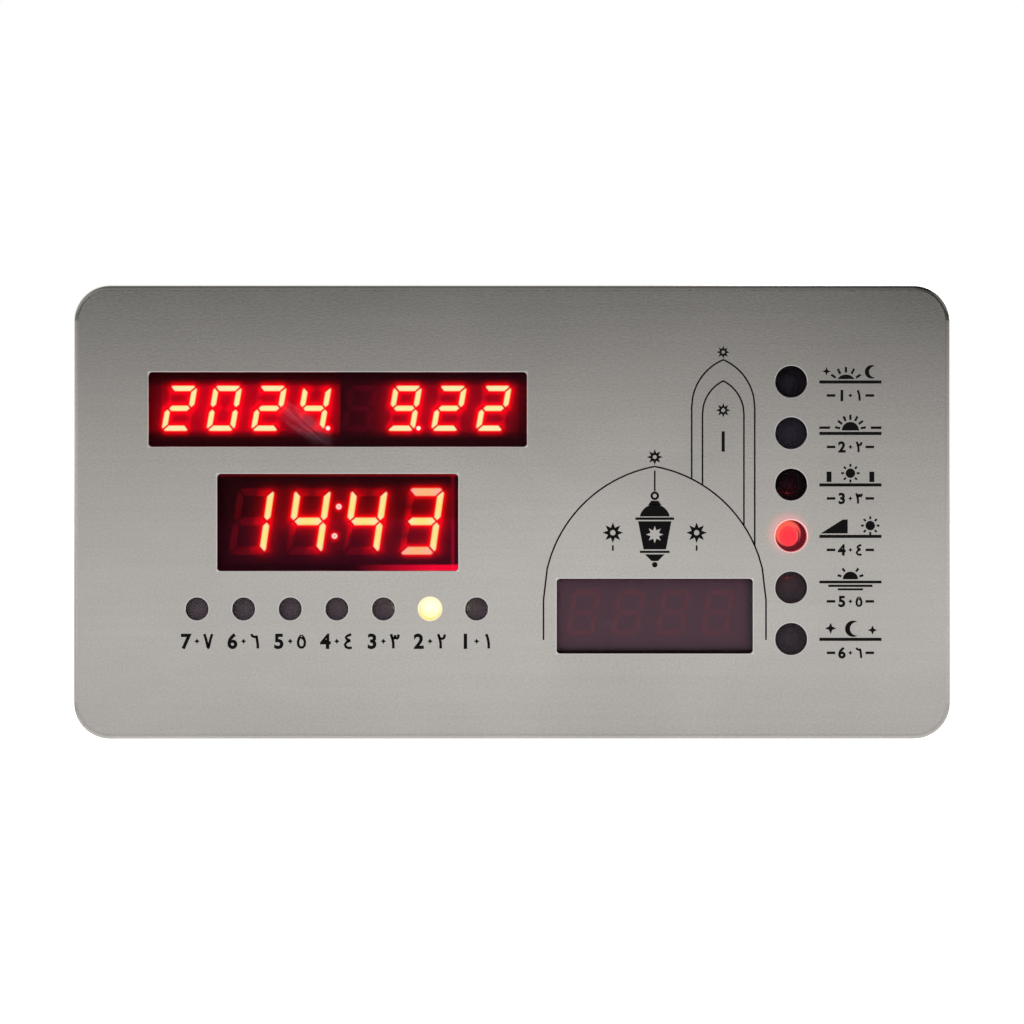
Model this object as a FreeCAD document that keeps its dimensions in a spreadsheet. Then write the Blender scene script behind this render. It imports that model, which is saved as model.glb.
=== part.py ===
import FreeCAD, Part
import math
import os
import Sketcher

# Wall-hung prayer-time clock, in millimetres.
# X is to the right as the clock is looked at, Z is up, and the clock faces -Y.
# The origin is the middle of the flat rear face that rests against the wall, so a depth is
# written as a height above the wall: height h lies at y = -h.

doc = FreeCAD.newDocument("azan_clock")
sheet = doc.addObject("Spreadsheet::Sheet", "Sizes")
Vector = FreeCAD.Vector
UP = Vector(0, 0, 1)

DAY_LAMPS = 7
PRAYER_LAMPS = 6
DRIVERS = 3
CAPACITORS = 3
RESISTORS = 12
KEY_NAMES = ("set_key", "mode_key", "up_key", "down_key")
CHIP_SIDE_LEADS = 11
DRIVER_SIDE_LEADS = 12
SMALL_SIDE_LEADS = 4
SLOT_REACHES = (0.62, 0.86, 0.97, 1.0, 0.97, 0.86, 0.62)

DRIVING_SIZES = {
    # pressed steel face
    "plate_width": 195.0,
    "plate_height": 101.0,
    "plate_corner": 8.0,
    "plate_thick": 1.0,
    "plate_bend": 1.3,
    "flange_depth": 9.0,
    "case_depth": 30.0,
    # the face has two fields side by side; a shift is measured to the right from a field's middle
    "field_border": 20.1,
    # window openings
    "window_corner": 0.8,
    "cut_edge": 0.15,
    "date_z": 22.8,
    "date_width": 84.0,
    "date_height": 16.5,
    "time_z": -2.3,
    "time_width": 53.5,
    "time_height": 21.5,
    "azan_shift": -27.1,
    "azan_z": -23.1,
    "azan_width": 43.5,
    "azan_height": 16.5,
    # lamp openings
    "day_lamp_shift": -0.2,
    "day_lamp_z": -21.5,
    "day_lamp_pitch": 10.35,
    "day_hole": 5.0,
    "prayer_lamp_shift": 3.2,
    "prayer_lamp_z": 0.4,
    "prayer_lamp_pitch": 11.43,
    "prayer_hole": 7.0,
    # smoked acrylic filter
    "filter_thick": 2.0,
    "filter_gap": 0.5,
    # lamps
    "lamp_gap": 0.3,
    "lamp_height": 8.6,
    "lamp_width": 5.0,
    "lamp_rim_width": 5.8,
    "lamp_rim_height": 1.0,
    "lamp_holder_height": 4.6,
    "lamp_holder_margin": 4.4,
    "lamp_bore_gap": 0.15,
    "lead_width": 0.5,
    "lead_spread": 2.54,
    "lead_hole_gap": 0.2,
    "lead_tail": 1.5,
    # circuit board
    "board_thick": 1.6,
    "board_gap": 2.2,
    "board_corner": 2.5,
    # rear housing
    "case_fit": 0.3,
    "case_wall": 2.0,
    "case_edge": 1.5,
    "rim_gap": 0.5,
    # fixing columns
    "fixing_inset": 9.5,
    "thread_width": 3.0,
    "thread_gap": 0.05,
    "thread_reach": 3.2,
    "screw_hole_gap": 0.2,
    "hex_width": 5.5,
    "boss_width": 8.4,
    "boss_height": 5.0,
    "screw_recess": 2.6,
    "screw_recess_width": 6.6,
    "screw_head_width": 5.4,
    "screw_head_height": 1.9,
    "screw_length": 6.0,
    "screw_bore": 7.0,
    "cross_length": 2.8,
    "cross_width": 0.7,
    "cross_depth": 1.0,
    # small digit modules
    "small_pitch": 10.05,
    "small_width": 40.1,
    "small_height": 12.8,
    "small_depth": 7.0,
    "small_lift": 0.5,
    "small_digit_height": 10.0,
    "small_digit_width": 6.25,
    "small_stroke": 1.05,
    "small_slant": 10.0,
    "small_dot": 1.15,
    "small_row": 10.16,
    "module_gap": 0.1,
    # large digit module
    "large_pitch": 12.7,
    "large_width": 50.3,
    "large_height": 19.0,
    "large_depth": 8.0,
    "large_lift": 0.2,
    "large_digit_height": 14.6,
    "large_digit_width": 8.2,
    "large_stroke": 1.45,
    "large_slant": 8.3,
    "large_dot": 1.45,
    "large_row": 15.24,
    "digit_shift": -0.6,
    "segment_gap": 0.12,
    "segment_depth": 0.5,
    "dot_gap": 0.3,
    "colon_spread": 0.45,
    # keys in the bottom wall, the first one measured from the plate's left edge
    "key_inset": 37.5,
    "key_pitch": 12.0,
    "key_setback": 3.5,
    "key_width": 8.0,
    "key_height": 4.4,
    "key_corner": 1.2,
    "key_hole_gap": 0.3,
    "key_proud": 0.9,
    "key_collar": 1.1,
    "key_collar_thick": 1.0,
    "key_travel": 0.5,
    "key_play": 0.3,
    "key_post_width": 3.4,
    "key_post_length": 1.5,
    "switch_width": 7.0,
    "switch_depth": 3.5,
    # speaker
    "speaker_shift": -20.8,
    "speaker_z": -8.0,
    "speaker_width": 36.0,
    "speaker_rim_thick": 1.0,
    "speaker_rim": 2.6,
    "basket_width": 19.0,
    "basket_depth": 6.0,
    "basket_thick": 0.7,
    "magnet_width": 18.0,
    "magnet_depth": 4.0,
    "groove_depth": 3.2,
    "coil_width": 10.4,
    "coil_thick": 0.3,
    "coil_gap": 0.45,
    "coil_reach": 2.0,
    "cone_gap": 0.3,
    "cone_thick": 0.4,
    "cone_play": 0.8,
    "dust_cap_height": 1.6,
    "surround_width": 2.4,
    "surround_thick": 0.3,
    "surround_seat": 0.4,
    "surround_rise": 0.2,
    "ear_screw_width": 2.2,
    "ear_head_width": 6.4,
    "ear_head_height": 1.4,
    "ear_boss_width": 4.6,
    "ear_reach": 2.2,
    "ear_hole_depth": 2.4,
    "tag_gap": 0.2,
    "tag_height": 7.0,
    "tag_thick": 0.8,
    # sound outlet in the rear wall
    "channel_depth": 1.5,
    "channel_width": 34.0,
    "sound_slot_width": 1.8,
    "sound_slot_pitch": 4.2,
    "sound_slot_length": 26.0,
    # wall keyholes
    "keyhole_spacing": 120.0,
    "keyhole_z": 25.0,
    "keyhole_entry": 8.5,
    "keyhole_neck": 4.2,
    "keyhole_rise": 8.0,
    # low-voltage inlet
    "jack_inset": 20.5,
    "jack_width": 9.0,
    "jack_height": 11.0,
    "jack_length": 14.0,
    "jack_axis": 6.4,
    "jack_bore": 6.3,
    "jack_bore_depth": 9.5,
    "jack_pin_width": 2.0,
    "jack_pin_round": 0.8,
    "jack_pin_setback": 1.2,
    "jack_opening": 9.0,
    "jack_wall_gap": 0.2,
    # back-up cell, beside the middle between the prayer lamps and the housing's wall
    "cell_shift": -0.6,
    "cell_z": 10.0,
    "cell_width": 20.0,
    "cell_thick": 3.2,
    "cell_step_width": 1.2,
    "cell_step_height": 0.6,
    "cell_wall": 1.6,
    "cell_floor": 1.2,
    "cell_fit": 0.2,
    "clip_width": 5.0,
    "clip_thick": 0.4,
    # small board parts
    "chip_shift": 26.7,
    "chip_z": -7.0,
    "chip_width": 10.0,
    "chip_thick": 1.4,
    "chip_stand": 0.1,
    "chip_lead_pitch": 0.8,
    "chip_lead_reach": 1.0,
    "chip_lead_width": 0.4,
    "driver_shift": 0.7,
    "driver_z": 12.0,
    "driver_pitch": 24.0,
    "driver_width": 15.4,
    "driver_height": 7.5,
    "driver_thick": 2.3,
    "driver_lead_pitch": 1.27,
    "audio_x": 6.0,
    "memory_z": 22.0,
    "memory_width": 5.2,
    "amplifier_z": -16.0,
    "amplifier_width": 4.9,
    "amplifier_height": 3.9,
    "regulator_shift": -38.3,
    "regulator_z": -20.0,
    "regulator_width": 6.5,
    "regulator_height": 6.1,
    "regulator_thick": 2.3,
    "tab_width": 5.4,
    "tab_reach": 1.2,
    "tab_thick": 0.5,
    "crystal_shift": 13.5,
    "crystal_z": -2.0,
    "crystal_width": 11.0,
    "crystal_height": 4.6,
    "crystal_thick": 3.5,
    "crystal_corner": 2.0,
    "crystal_edge": 0.4,
    "capacitor_shift": -11.3,
    "capacitor_z": -31.0,
    "capacitor_pitch": 12.0,
    "capacitor_width": 8.0,
    "capacitor_height": 9.5,
    "capacitor_edge": 0.8,
    "resistor_shift": -2.5,
    "resistor_z": 24.0,
    "resistor_pitch": 5.6,
    "resistor_width": 1.6,
    "resistor_height": 3.2,
    "resistor_thick": 0.6,
    # speaker lead
    "socket_z": -30.0,
    "socket_width": 7.5,
    "socket_height": 4.6,
    "socket_depth": 5.8,
    "wire_width": 1.1,
    "wire_spread": 2.5,
    "wire_entry": 3.5,
}

for row, (alias, size) in enumerate(DRIVING_SIZES.items(), start=1):
    sheet.set(f"A{row}", alias)
    sheet.set(f"B{row}", str(size))
    sheet.setAlias(f"B{row}", alias)
doc.recompute()


def of(alias):
    """The cell of the sheet that holds one driving size, as it is written in an expression."""
    return f"Sizes.{alias}"


def number(expression):
    """The value of an expression, in millimetres."""
    return float(sheet.evalExpression(expression))


def around(x, z, radius, degrees):
    """A place on a circle about (x, z)."""
    turn = math.radians(degrees)
    return (f"({x} + {radius} * {math.cos(turn):.9f})", f"({z} + {radius} * {math.sin(turn):.9f})")


# ---------------------------------------------------------------- heights above the wall
plate_front = of("case_depth")
plate_back = "(Sizes.case_depth - Sizes.plate_thick)"
flange_end = "(Sizes.case_depth - Sizes.flange_depth)"
filter_back = f"({plate_back} - Sizes.filter_thick)"
housing_rim = f"({filter_back} - Sizes.rim_gap)"
lamp_tip = f"({filter_back} - Sizes.lamp_gap)"
board_front = f"({lamp_tip} - Sizes.lamp_height)"
board_back = f"({board_front} - Sizes.board_thick)"
lead_end = f"({board_back} - Sizes.lead_tail)"
speaker_seat = "(Sizes.case_wall + Sizes.channel_depth)"
key_axis = f"({board_back} - Sizes.key_setback)"

# ---------------------------------------------------------------- widths and places across the face
housing_width = "(Sizes.plate_width - 2 * Sizes.plate_thick - 2 * Sizes.case_fit)"
housing_height = "(Sizes.plate_height - 2 * Sizes.plate_thick - 2 * Sizes.case_fit)"
housing_corner = "(Sizes.plate_corner - Sizes.plate_thick - Sizes.case_fit)"
board_width = f"({housing_width} - 2 * Sizes.case_wall - 2 * Sizes.board_gap)"
board_height = f"({housing_height} - 2 * Sizes.case_wall - 2 * Sizes.board_gap)"
bottom_outside = f"(-{housing_height} / 2)"
bottom_inside = f"({bottom_outside} + Sizes.case_wall)"
side_inside = f"({housing_width} / 2 - Sizes.case_wall)"
left_field = "((Sizes.field_border - Sizes.plate_width / 2) / 2)"
right_field = "((Sizes.field_border + Sizes.plate_width / 2) / 2)"
azan_x = f"({right_field} + Sizes.azan_shift)"
day_lamp_x = f"({left_field} + Sizes.day_lamp_shift)"
prayer_lamp_x = f"({right_field} + Sizes.prayer_lamp_shift)"
key_x = "(Sizes.key_inset - Sizes.plate_width / 2)"
jack_x = "(Sizes.jack_inset - Sizes.plate_width / 2)"
speaker_x = f"({right_field} + Sizes.speaker_shift)"
cell_x = f"(({prayer_lamp_x} + {side_inside}) / 2 + Sizes.cell_shift)"
chip_x = f"({left_field} + Sizes.chip_shift)"
driver_x = f"({left_field} + Sizes.driver_shift)"
regulator_x = f"({left_field} + Sizes.regulator_shift)"
crystal_x = f"({left_field} + Sizes.crystal_shift)"
capacitor_x = f"({left_field} + Sizes.capacitor_shift)"
resistor_x = f"({left_field} + Sizes.resistor_shift)"
fixing_x = "(Sizes.plate_width / 2 - Sizes.fixing_inset)"
fixing_z = "(Sizes.plate_height / 2 - Sizes.fixing_inset)"
FIXINGS = [(f"{side} * {fixing_x}", f"{level} * {fixing_z}") for level in (-1, 1) for side in (-1, 0, 1)]
WINDOWS = {"date": left_field, "time": left_field, "azan": azan_x}


def row_places(count, middle, pitch):
    """Places of evenly pitched things about a middle."""
    return [f"({middle} + {index - (count - 1) / 2} * {pitch})" for index in range(count)]


DAY_PLACES = [(x, of("day_lamp_z")) for x in row_places(DAY_LAMPS, day_lamp_x, of("day_lamp_pitch"))]
PRAYER_PLACES = [(prayer_lamp_x, z)
                 for z in reversed(row_places(PRAYER_LAMPS, of("prayer_lamp_z"), of("prayer_lamp_pitch")))]
KEY_PLACES = [f"({key_x} + {index} * Sizes.key_pitch)" for index in range(len(KEY_NAMES))]


# ---------------------------------------------------------------- drawing and building
def body(label):
    item = doc.addObject("PartDesign::Body", label)
    item.Label = label
    return item


class Drawing:
    """A sketch on one of a body's own planes, every point and radius of it held by an expression.

    On XZ_Plane the two directions are x and z and the offset is the height above the wall.
    On XY_Plane they are x and y and the offset is z.
    """

    def __init__(self, owner, plane, offset="0"):
        self.owner = owner
        self.sketch = owner.newObject("Sketcher::SketchObject", f"{owner.Label}_sketch")
        support = next(item for item in owner.Origin.OriginFeatures if item.Role == plane)
        self.sketch.AttachmentSupport = (support, [""])
        self.sketch.MapMode = "FlatFace"
        self.sketch.setExpression("AttachmentOffset.Base.z", offset)
        self.geometry = []
        self.constraints = []
        self.expressions = []

    def hold(self, kind, expression, *place):
        self.expressions.append((len(self.constraints), expression))
        self.constraints.append(Sketcher.Constraint(kind, *place, number(expression)))

    def hold_point(self, item, point, x, y):
        self.hold("DistanceX", x, -1, 1, item, point)
        self.hold("DistanceY", y, -1, 1, item, point)

    def circle(self, x, y, diameter):
        item = len(self.geometry)
        centre = Vector(number(x), number(y), 0)
        self.geometry.append(Part.Circle(centre, UP, number(diameter) / 2))
        self.hold_point(item, 3, x, y)
        self.hold("Diameter", diameter, item)

    def outline(self, corners):
        """A closed outline. A corner is (x, y), or (x, y, radius) where an arc of that radius leads
        on to the next corner, anticlockwise, or clockwise where turn is -1 as a fourth value."""
        first = len(self.geometry)
        points = [Vector(number(corner[0]), number(corner[1]), 0) for corner in corners]
        ends = []
        for index, corner in enumerate(corners):
            start = points[index]
            end = points[(index + 1) % len(points)]
            if len(corner) == 2:
                self.geometry.append(Part.LineSegment(start, end))
                ends.append((1, 2))
                continue
            radius = number(corner[2])
            turn = corner[3] if len(corner) == 4 else 1
            chord = end - start
            rise = math.sqrt(max(radius ** 2 - (chord.Length / 2) ** 2, 0))
            side = Vector(-chord.y, chord.x, 0).normalize() * turn
            centre = (start + end) / 2 + side * rise
            circle = Part.Circle(centre, UP, radius)
            arc_start, arc_end = (start, end) if turn == 1 else (end, start)
            self.geometry.append(Part.ArcOfCircle(circle, circle.parameter(arc_start),
                                                  circle.parameter(arc_end)))
            ends.append((1, 2) if turn == 1 else (2, 1))
            self.hold("Radius", corner[2], first + index)
        for index, corner in enumerate(corners):
            following = (index + 1) % len(corners)
            self.hold_point(first + index, ends[index][0], corner[0], corner[1])
            self.constraints.append(Sketcher.Constraint("Coincident", first + index, ends[index][1],
                                                        first + following, ends[following][0]))

    def rectangle(self, x, y, width, height, corner=None):
        left, right = f"({x} - {width} / 2)", f"({x} + {width} / 2)"
        low, high = f"({y} - {height} / 2)", f"({y} + {height} / 2)"
        if corner is None:
            self.outline([(left, low), (right, low), (right, high), (left, high)])
            return
        self.outline([
            (f"{left} + {corner}", low), (f"{right} - {corner}", low, corner),
            (right, f"{low} + {corner}"), (right, f"{high} - {corner}", corner),
            (f"{right} - {corner}", high), (f"{left} + {corner}", high, corner),
            (left, f"{high} - {corner}"), (left, f"{low} + {corner}", corner),
        ])

    def upright_slot(self, x, low, high, width):
        radius = f"({width} / 2)"
        left, right = f"({x} - {radius})", f"({x} + {radius})"
        self.outline([
            (x, low, radius), (right, f"{low} + {radius}"), (right, f"{high} - {radius}", radius),
            (x, high, radius), (left, f"{high} - {radius}"), (left, f"{low} + {radius}", radius),
        ])

    def hexagon(self, x, y, across):
        radius = f"({across} / {2 * math.cos(math.radians(30)):.9f})"
        self.outline([around(x, y, radius, 60 * index + 30) for index in range(6)])

    def finish(self):
        self.sketch.addGeometry(self.geometry, False)
        self.sketch.addConstraint(self.constraints)
        for index, expression in self.expressions:
            self.sketch.setExpression(f"Constraints[{index}]", expression)
        return self.sketch

    def feature(self, kind, length, reverse):
        sketch = self.finish()
        item = self.owner.newObject(kind, f"{self.owner.Label}_{kind.split('::')[1].lower()}")
        item.Profile = sketch
        item.setExpression("Length", length)
        item.Reversed = reverse
        self.owner.Tip = item
        doc.recompute()
        return item

    def pad(self, length, reverse=False):
        """Material along the plane's normal: away from the wall, or upwards."""
        return self.feature("PartDesign::Pad", length, reverse)

    def pocket(self, length, reverse=False):
        """A cut against the plane's normal, or along it where reverse is set."""
        return self.feature("PartDesign::Pocket", length, reverse)


def soften(owner, kind, size, test):
    """Round or chamfer the edges of the body so far that pass the test."""
    base = owner.Tip
    names = [f"Edge{index}" for index, edge in enumerate(base.Shape.Edges, start=1) if test(edge)]
    item = owner.newObject(f"PartDesign::{kind}", f"{owner.Label}_{kind.lower()}")
    item.Base = (base, names)
    item.setExpression("Radius" if kind == "Fillet" else "Size", size)
    owner.Tip = item
    doc.recompute()
    return item


def at_height(height):
    """A test for edges that lie flat at one height above the wall."""
    level = -number(height)
    return lambda edge: max(abs(edge.BoundBox.YMin - level), abs(edge.BoundBox.YMax - level)) < 1e-4


def turned(label, x, z, back, corners):
    """A body turned about an axis square to the wall, from corners of (radius, height above back)."""
    item = body(label)
    drawing = Drawing(item, "XY_Plane")
    drawing.outline([(corner[0], f"-({corner[1]})") + tuple(corner[2:]) for corner in corners])
    sketch = drawing.finish()
    turn = item.newObject("PartDesign::Revolution", f"{label}_revolution")
    turn.Profile = sketch
    turn.ReferenceAxis = (sketch, ["V_Axis"])
    turn.Angle = 360
    item.Tip = turn
    stand(item, x, back, z)
    doc.recompute()
    return item


def stand(item, x, height, z):
    item.setExpression("Placement.Base.x", x)
    item.setExpression("Placement.Base.y", f"-({height})")
    item.setExpression("Placement.Base.z", z)


def block(label, x, z, width, height, back, depth):
    """A box centred on x and z, from the height back to the height back + depth."""
    item = doc.addObject("Part::Box", label)
    item.Label = label
    item.setExpression("Length", width)
    item.setExpression("Width", depth)
    item.setExpression("Height", height)
    stand(item, f"{x} - {width} / 2", f"{back} + {depth}", f"{z} - {height} / 2")
    return item


def cut(label, base, tool):
    item = doc.addObject("Part::Cut", label)
    item.Label = label
    item.Base = base
    item.Tool = tool
    doc.recompute()
    return item


def join(label, pieces):
    item = doc.addObject("Part::MultiFuse", label)
    item.Label = label
    item.Shapes = pieces
    doc.recompute()
    return item


def group(label, pieces):
    """Several separate solids that share one node."""
    item = doc.addObject("Part::Compound", label)
    item.Label = label
    item.Links = pieces
    doc.recompute()
    return item


parts = []


def keep(item):
    parts.append(item)
    return item


# ---------------------------------------------------------------- front plate
# Stainless sheet pressed into a shallow tray: the face, and a flange turned back all round.
front_plate = keep(body("front_plate"))
drawing = Drawing(front_plate, "XZ_Plane", flange_end)
drawing.rectangle("0", "0", of("plate_width"), of("plate_height"), of("plate_corner"))
drawing.pad(of("flange_depth"))
soften(front_plate, "Fillet", of("plate_bend"), at_height(plate_front))
drawing = Drawing(front_plate, "XZ_Plane", flange_end)
drawing.rectangle("0", "0", "(Sizes.plate_width - 2 * Sizes.plate_thick)",
                  "(Sizes.plate_height - 2 * Sizes.plate_thick)", "(Sizes.plate_corner - Sizes.plate_thick)")
drawing.pocket("Sizes.flange_depth - Sizes.plate_thick", reverse=True)
drawing = Drawing(front_plate, "XZ_Plane", plate_front)
for window, x in WINDOWS.items():
    drawing.rectangle(x, of(f"{window}_z"), of(f"{window}_width"), of(f"{window}_height"),
                      of("window_corner"))
for x, z in DAY_PLACES:
    drawing.circle(x, z, of("day_hole"))
for x, z in PRAYER_PLACES:
    drawing.circle(x, z, of("prayer_hole"))
drawing.pocket(of("plate_thick"))
cut_limit_x = number("Sizes.plate_width / 2 - Sizes.plate_corner")
cut_limit_z = number("Sizes.plate_height / 2 - Sizes.plate_corner")


def around_an_opening(edge):
    box = edge.BoundBox
    inside = max(-box.XMin, box.XMax) < cut_limit_x and max(-box.ZMin, box.ZMax) < cut_limit_z
    return inside and at_height(plate_front)(edge)


soften(front_plate, "Fillet", of("cut_edge"), around_an_opening)

# ---------------------------------------------------------------- weld studs
# Threaded studs resistance-welded to the back of the face, so that no screw shows in front.
stud_end = f"({filter_back} - Sizes.thread_reach)"
weld_studs = keep(body("weld_studs"))
drawing = Drawing(weld_studs, "XZ_Plane", stud_end)
for x, z in FIXINGS:
    drawing.circle(x, z, of("thread_width"))
drawing.pad(f"{plate_back} - {stud_end}")
soften(weld_studs, "Chamfer", "Sizes.thread_width / 10", at_height(stud_end))

# ---------------------------------------------------------------- smoked filter
# One dark acrylic sheet behind every window and lamp opening, pierced for the studs.
smoked_filter = keep(body("smoked_filter"))
drawing = Drawing(smoked_filter, "XZ_Plane", filter_back)
drawing.rectangle("0", "0", "(Sizes.plate_width - 2 * Sizes.plate_thick - 2 * Sizes.filter_gap)",
                  "(Sizes.plate_height - 2 * Sizes.plate_thick - 2 * Sizes.filter_gap)",
                  "(Sizes.plate_corner - Sizes.plate_thick - Sizes.filter_gap)")
for x, z in FIXINGS:
    drawing.circle(x, z, "(Sizes.thread_width + 2 * Sizes.screw_hole_gap)")
drawing.pad(of("filter_thick"))

# ---------------------------------------------------------------- front standoffs
# Hexagonal pillars screwed on the studs: they clamp the filter and carry the board.
front_standoffs = keep(body("front_standoffs"))
drawing = Drawing(front_standoffs, "XZ_Plane", board_front)
for x, z in FIXINGS:
    drawing.hexagon(x, z, of("hex_width"))
    drawing.circle(x, z, "(Sizes.thread_width + 2 * Sizes.thread_gap)")
drawing.pad(f"{filter_back} - {board_front}")

# ---------------------------------------------------------------- circuit board
# Board that carries the digits and lamps in front and everything else behind.
MODULE_SIZES = {"date_display_left": "small", "date_display_right": "small",
                "time_display": "large", "azan_display": "small"}
MODULE_PLACES = {
    "date_display_left": (f"({left_field} - (Sizes.small_width + Sizes.module_gap) / 2)",
                          "(Sizes.date_z + Sizes.small_lift)"),
    "date_display_right": (f"({left_field} + (Sizes.small_width + Sizes.module_gap) / 2)",
                           "(Sizes.date_z + Sizes.small_lift)"),
    "time_display": (left_field, "(Sizes.time_z + Sizes.large_lift)"),
    "azan_display": (azan_x, "(Sizes.azan_z + Sizes.small_lift)"),
}
PIN_COLUMNS = 6


def module_pins(name):
    x, z = MODULE_PLACES[name]
    size = MODULE_SIZES[name]
    columns = row_places(PIN_COLUMNS, x, of("lead_spread"))
    return [(column, f"({z} + {side} * Sizes.{size}_row / 2)") for side in (-1, 1) for column in columns]


DISPLAY_PINS = [pin for name in MODULE_PLACES for pin in module_pins(name)]
LAMP_LEADS = [(f"({x} + {side} * Sizes.lead_spread / 2)", z)
              for x, z in DAY_PLACES + PRAYER_PLACES for side in (-1, 1)]

main_board = keep(body("main_board"))
drawing = Drawing(main_board, "XZ_Plane", board_back)
drawing.rectangle("0", "0", board_width, board_height, of("board_corner"))
for x, z in FIXINGS:
    drawing.circle(x, z, "(Sizes.thread_width + 2 * Sizes.screw_hole_gap)")
drawing.pad(of("board_thick"))
drawing = Drawing(main_board, "XZ_Plane", board_front)
for x, z in DISPLAY_PINS + LAMP_LEADS:
    drawing.circle(x, z, "(Sizes.lead_width + 2 * Sizes.lead_hole_gap)")
drawing.pocket(of("board_thick"))

# ---------------------------------------------------------------- rear standoffs
# Pillars with a threaded nose through the board, tapped behind for the case screws.
rear_standoffs = keep(body("rear_standoffs"))
drawing = Drawing(rear_standoffs, "XZ_Plane", of("boss_height"))
for x, z in FIXINGS:
    drawing.hexagon(x, z, of("hex_width"))
drawing.pad(f"{board_back} - Sizes.boss_height")
drawing = Drawing(rear_standoffs, "XZ_Plane", board_back)
for x, z in FIXINGS:
    drawing.circle(x, z, of("thread_width"))
drawing.pad("Sizes.board_thick + Sizes.thread_reach")
drawing = Drawing(rear_standoffs, "XZ_Plane", of("boss_height"))
for x, z in FIXINGS:
    drawing.circle(x, z, "(Sizes.thread_width + 2 * Sizes.thread_gap)")
drawing.pocket(of("screw_bore"), reverse=True)

# ---------------------------------------------------------------- rear housing
# Moulded tub whose rim slides inside the flange; its back rests flat against the wall.
rear_housing = keep(body("rear_housing"))
drawing = Drawing(rear_housing, "XZ_Plane")
drawing.rectangle("0", "0", housing_width, housing_height, housing_corner)
drawing.pad(housing_rim)
soften(rear_housing, "Fillet", of("case_edge"), at_height("0"))
drawing = Drawing(rear_housing, "XZ_Plane", housing_rim)
drawing.rectangle("0", "0", f"({housing_width} - 2 * Sizes.case_wall)",
                  f"({housing_height} - 2 * Sizes.case_wall)", f"({housing_corner} - Sizes.case_wall)")
drawing.pocket(f"{housing_rim} - Sizes.case_wall")

# raised floor over the sound channel, where the speaker sits
channel_top = "(Sizes.speaker_z + Sizes.channel_width / 2)"
floor_top = f"({channel_top} + Sizes.case_wall)"
floor_middle = f"(({floor_top} + {bottom_inside}) / 2)"
drawing = Drawing(rear_housing, "XZ_Plane", of("case_wall"))
drawing.rectangle(speaker_x, floor_middle, "(Sizes.speaker_width + 2 * Sizes.ear_head_width)",
                  f"({floor_top} - {bottom_inside})")
drawing.pad(of("channel_depth"))

# bosses for the case screws, and small ones for the speaker's screws
drawing = Drawing(rear_housing, "XZ_Plane", of("case_wall"))
for x, z in FIXINGS:
    drawing.circle(x, z, of("boss_width"))
drawing.pad("Sizes.boss_height - Sizes.case_wall")
ear_radius = "((Sizes.speaker_width + Sizes.ear_boss_width) / 2 + Sizes.cone_gap)"
EARS = [around(speaker_x, of("speaker_z"), ear_radius, degrees) for degrees in (45, 135, 225, 315)]
drawing = Drawing(rear_housing, "XZ_Plane", speaker_seat)
for x, z in EARS:
    drawing.circle(x, z, of("ear_boss_width"))
drawing.pad(of("speaker_rim_thick"))
drawing = Drawing(rear_housing, "XZ_Plane", f"({speaker_seat} + Sizes.speaker_rim_thick)")
for x, z in EARS:
    drawing.circle(x, z, "(Sizes.ear_screw_width + 2 * Sizes.thread_gap)")
drawing.pocket(of("ear_hole_depth"))

# recesses and holes for the case screws
drawing = Drawing(rear_housing, "XZ_Plane")
for x, z in FIXINGS:
    drawing.circle(x, z, of("screw_recess_width"))
drawing.pocket(of("screw_recess"), reverse=True)
drawing = Drawing(rear_housing, "XZ_Plane", of("boss_height"))
for x, z in FIXINGS:
    drawing.circle(x, z, "(Sizes.thread_width + 2 * Sizes.screw_hole_gap)")
drawing.pocket(of("boss_height"))

# shallow channel that lets the sound out at the bottom edge, and the slots over the cone
drawing = Drawing(rear_housing, "XZ_Plane")
drawing.rectangle(speaker_x, f"(({channel_top} + {bottom_outside}) / 2)", of("channel_width"),
                  f"({channel_top} - {bottom_outside})")
drawing.pocket(of("channel_depth"), reverse=True)
drawing = Drawing(rear_housing, "XZ_Plane", speaker_seat)
for index, share in enumerate(SLOT_REACHES):
    x = f"({speaker_x} + {index - len(SLOT_REACHES) // 2} * Sizes.sound_slot_pitch)"
    reach = f"({share} * Sizes.sound_slot_length / 2)"
    drawing.upright_slot(x, f"(Sizes.speaker_z - {reach})", f"(Sizes.speaker_z + {reach})",
                         of("sound_slot_width"))
drawing.pocket(of("case_wall"))

# keyholes to hang the clock by: the screw head goes in below and the clock drops on the shank
KEYHOLES = [f"({side} * Sizes.keyhole_spacing / 2)" for side in (-1, 1)]
drawing = Drawing(rear_housing, "XZ_Plane")
for x in KEYHOLES:
    drawing.circle(x, of("keyhole_z"), of("keyhole_entry"))
drawing.pocket(of("case_wall"), reverse=True)
keyhole_top = "(Sizes.keyhole_z + Sizes.keyhole_rise + Sizes.keyhole_neck / 2)"
drawing = Drawing(rear_housing, "XZ_Plane")
for x in KEYHOLES:
    drawing.upright_slot(x, of("keyhole_z"), keyhole_top, of("keyhole_neck"))
drawing.pocket(of("case_wall"), reverse=True)

# openings in the bottom wall for the keys and the inlet
jack_height_axis = f"({board_back} - Sizes.jack_axis)"
drawing = Drawing(rear_housing, "XY_Plane", bottom_outside)
for x in KEY_PLACES:
    drawing.rectangle(x, f"(-{key_axis})", "(Sizes.key_width + 2 * Sizes.key_hole_gap)",
                      "(Sizes.key_height + 2 * Sizes.key_hole_gap)",
                      "(Sizes.key_corner + Sizes.key_hole_gap)")
drawing.circle(jack_x, f"(-{jack_height_axis})", of("jack_opening"))
drawing.pocket(of("case_wall"), reverse=True)

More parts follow.
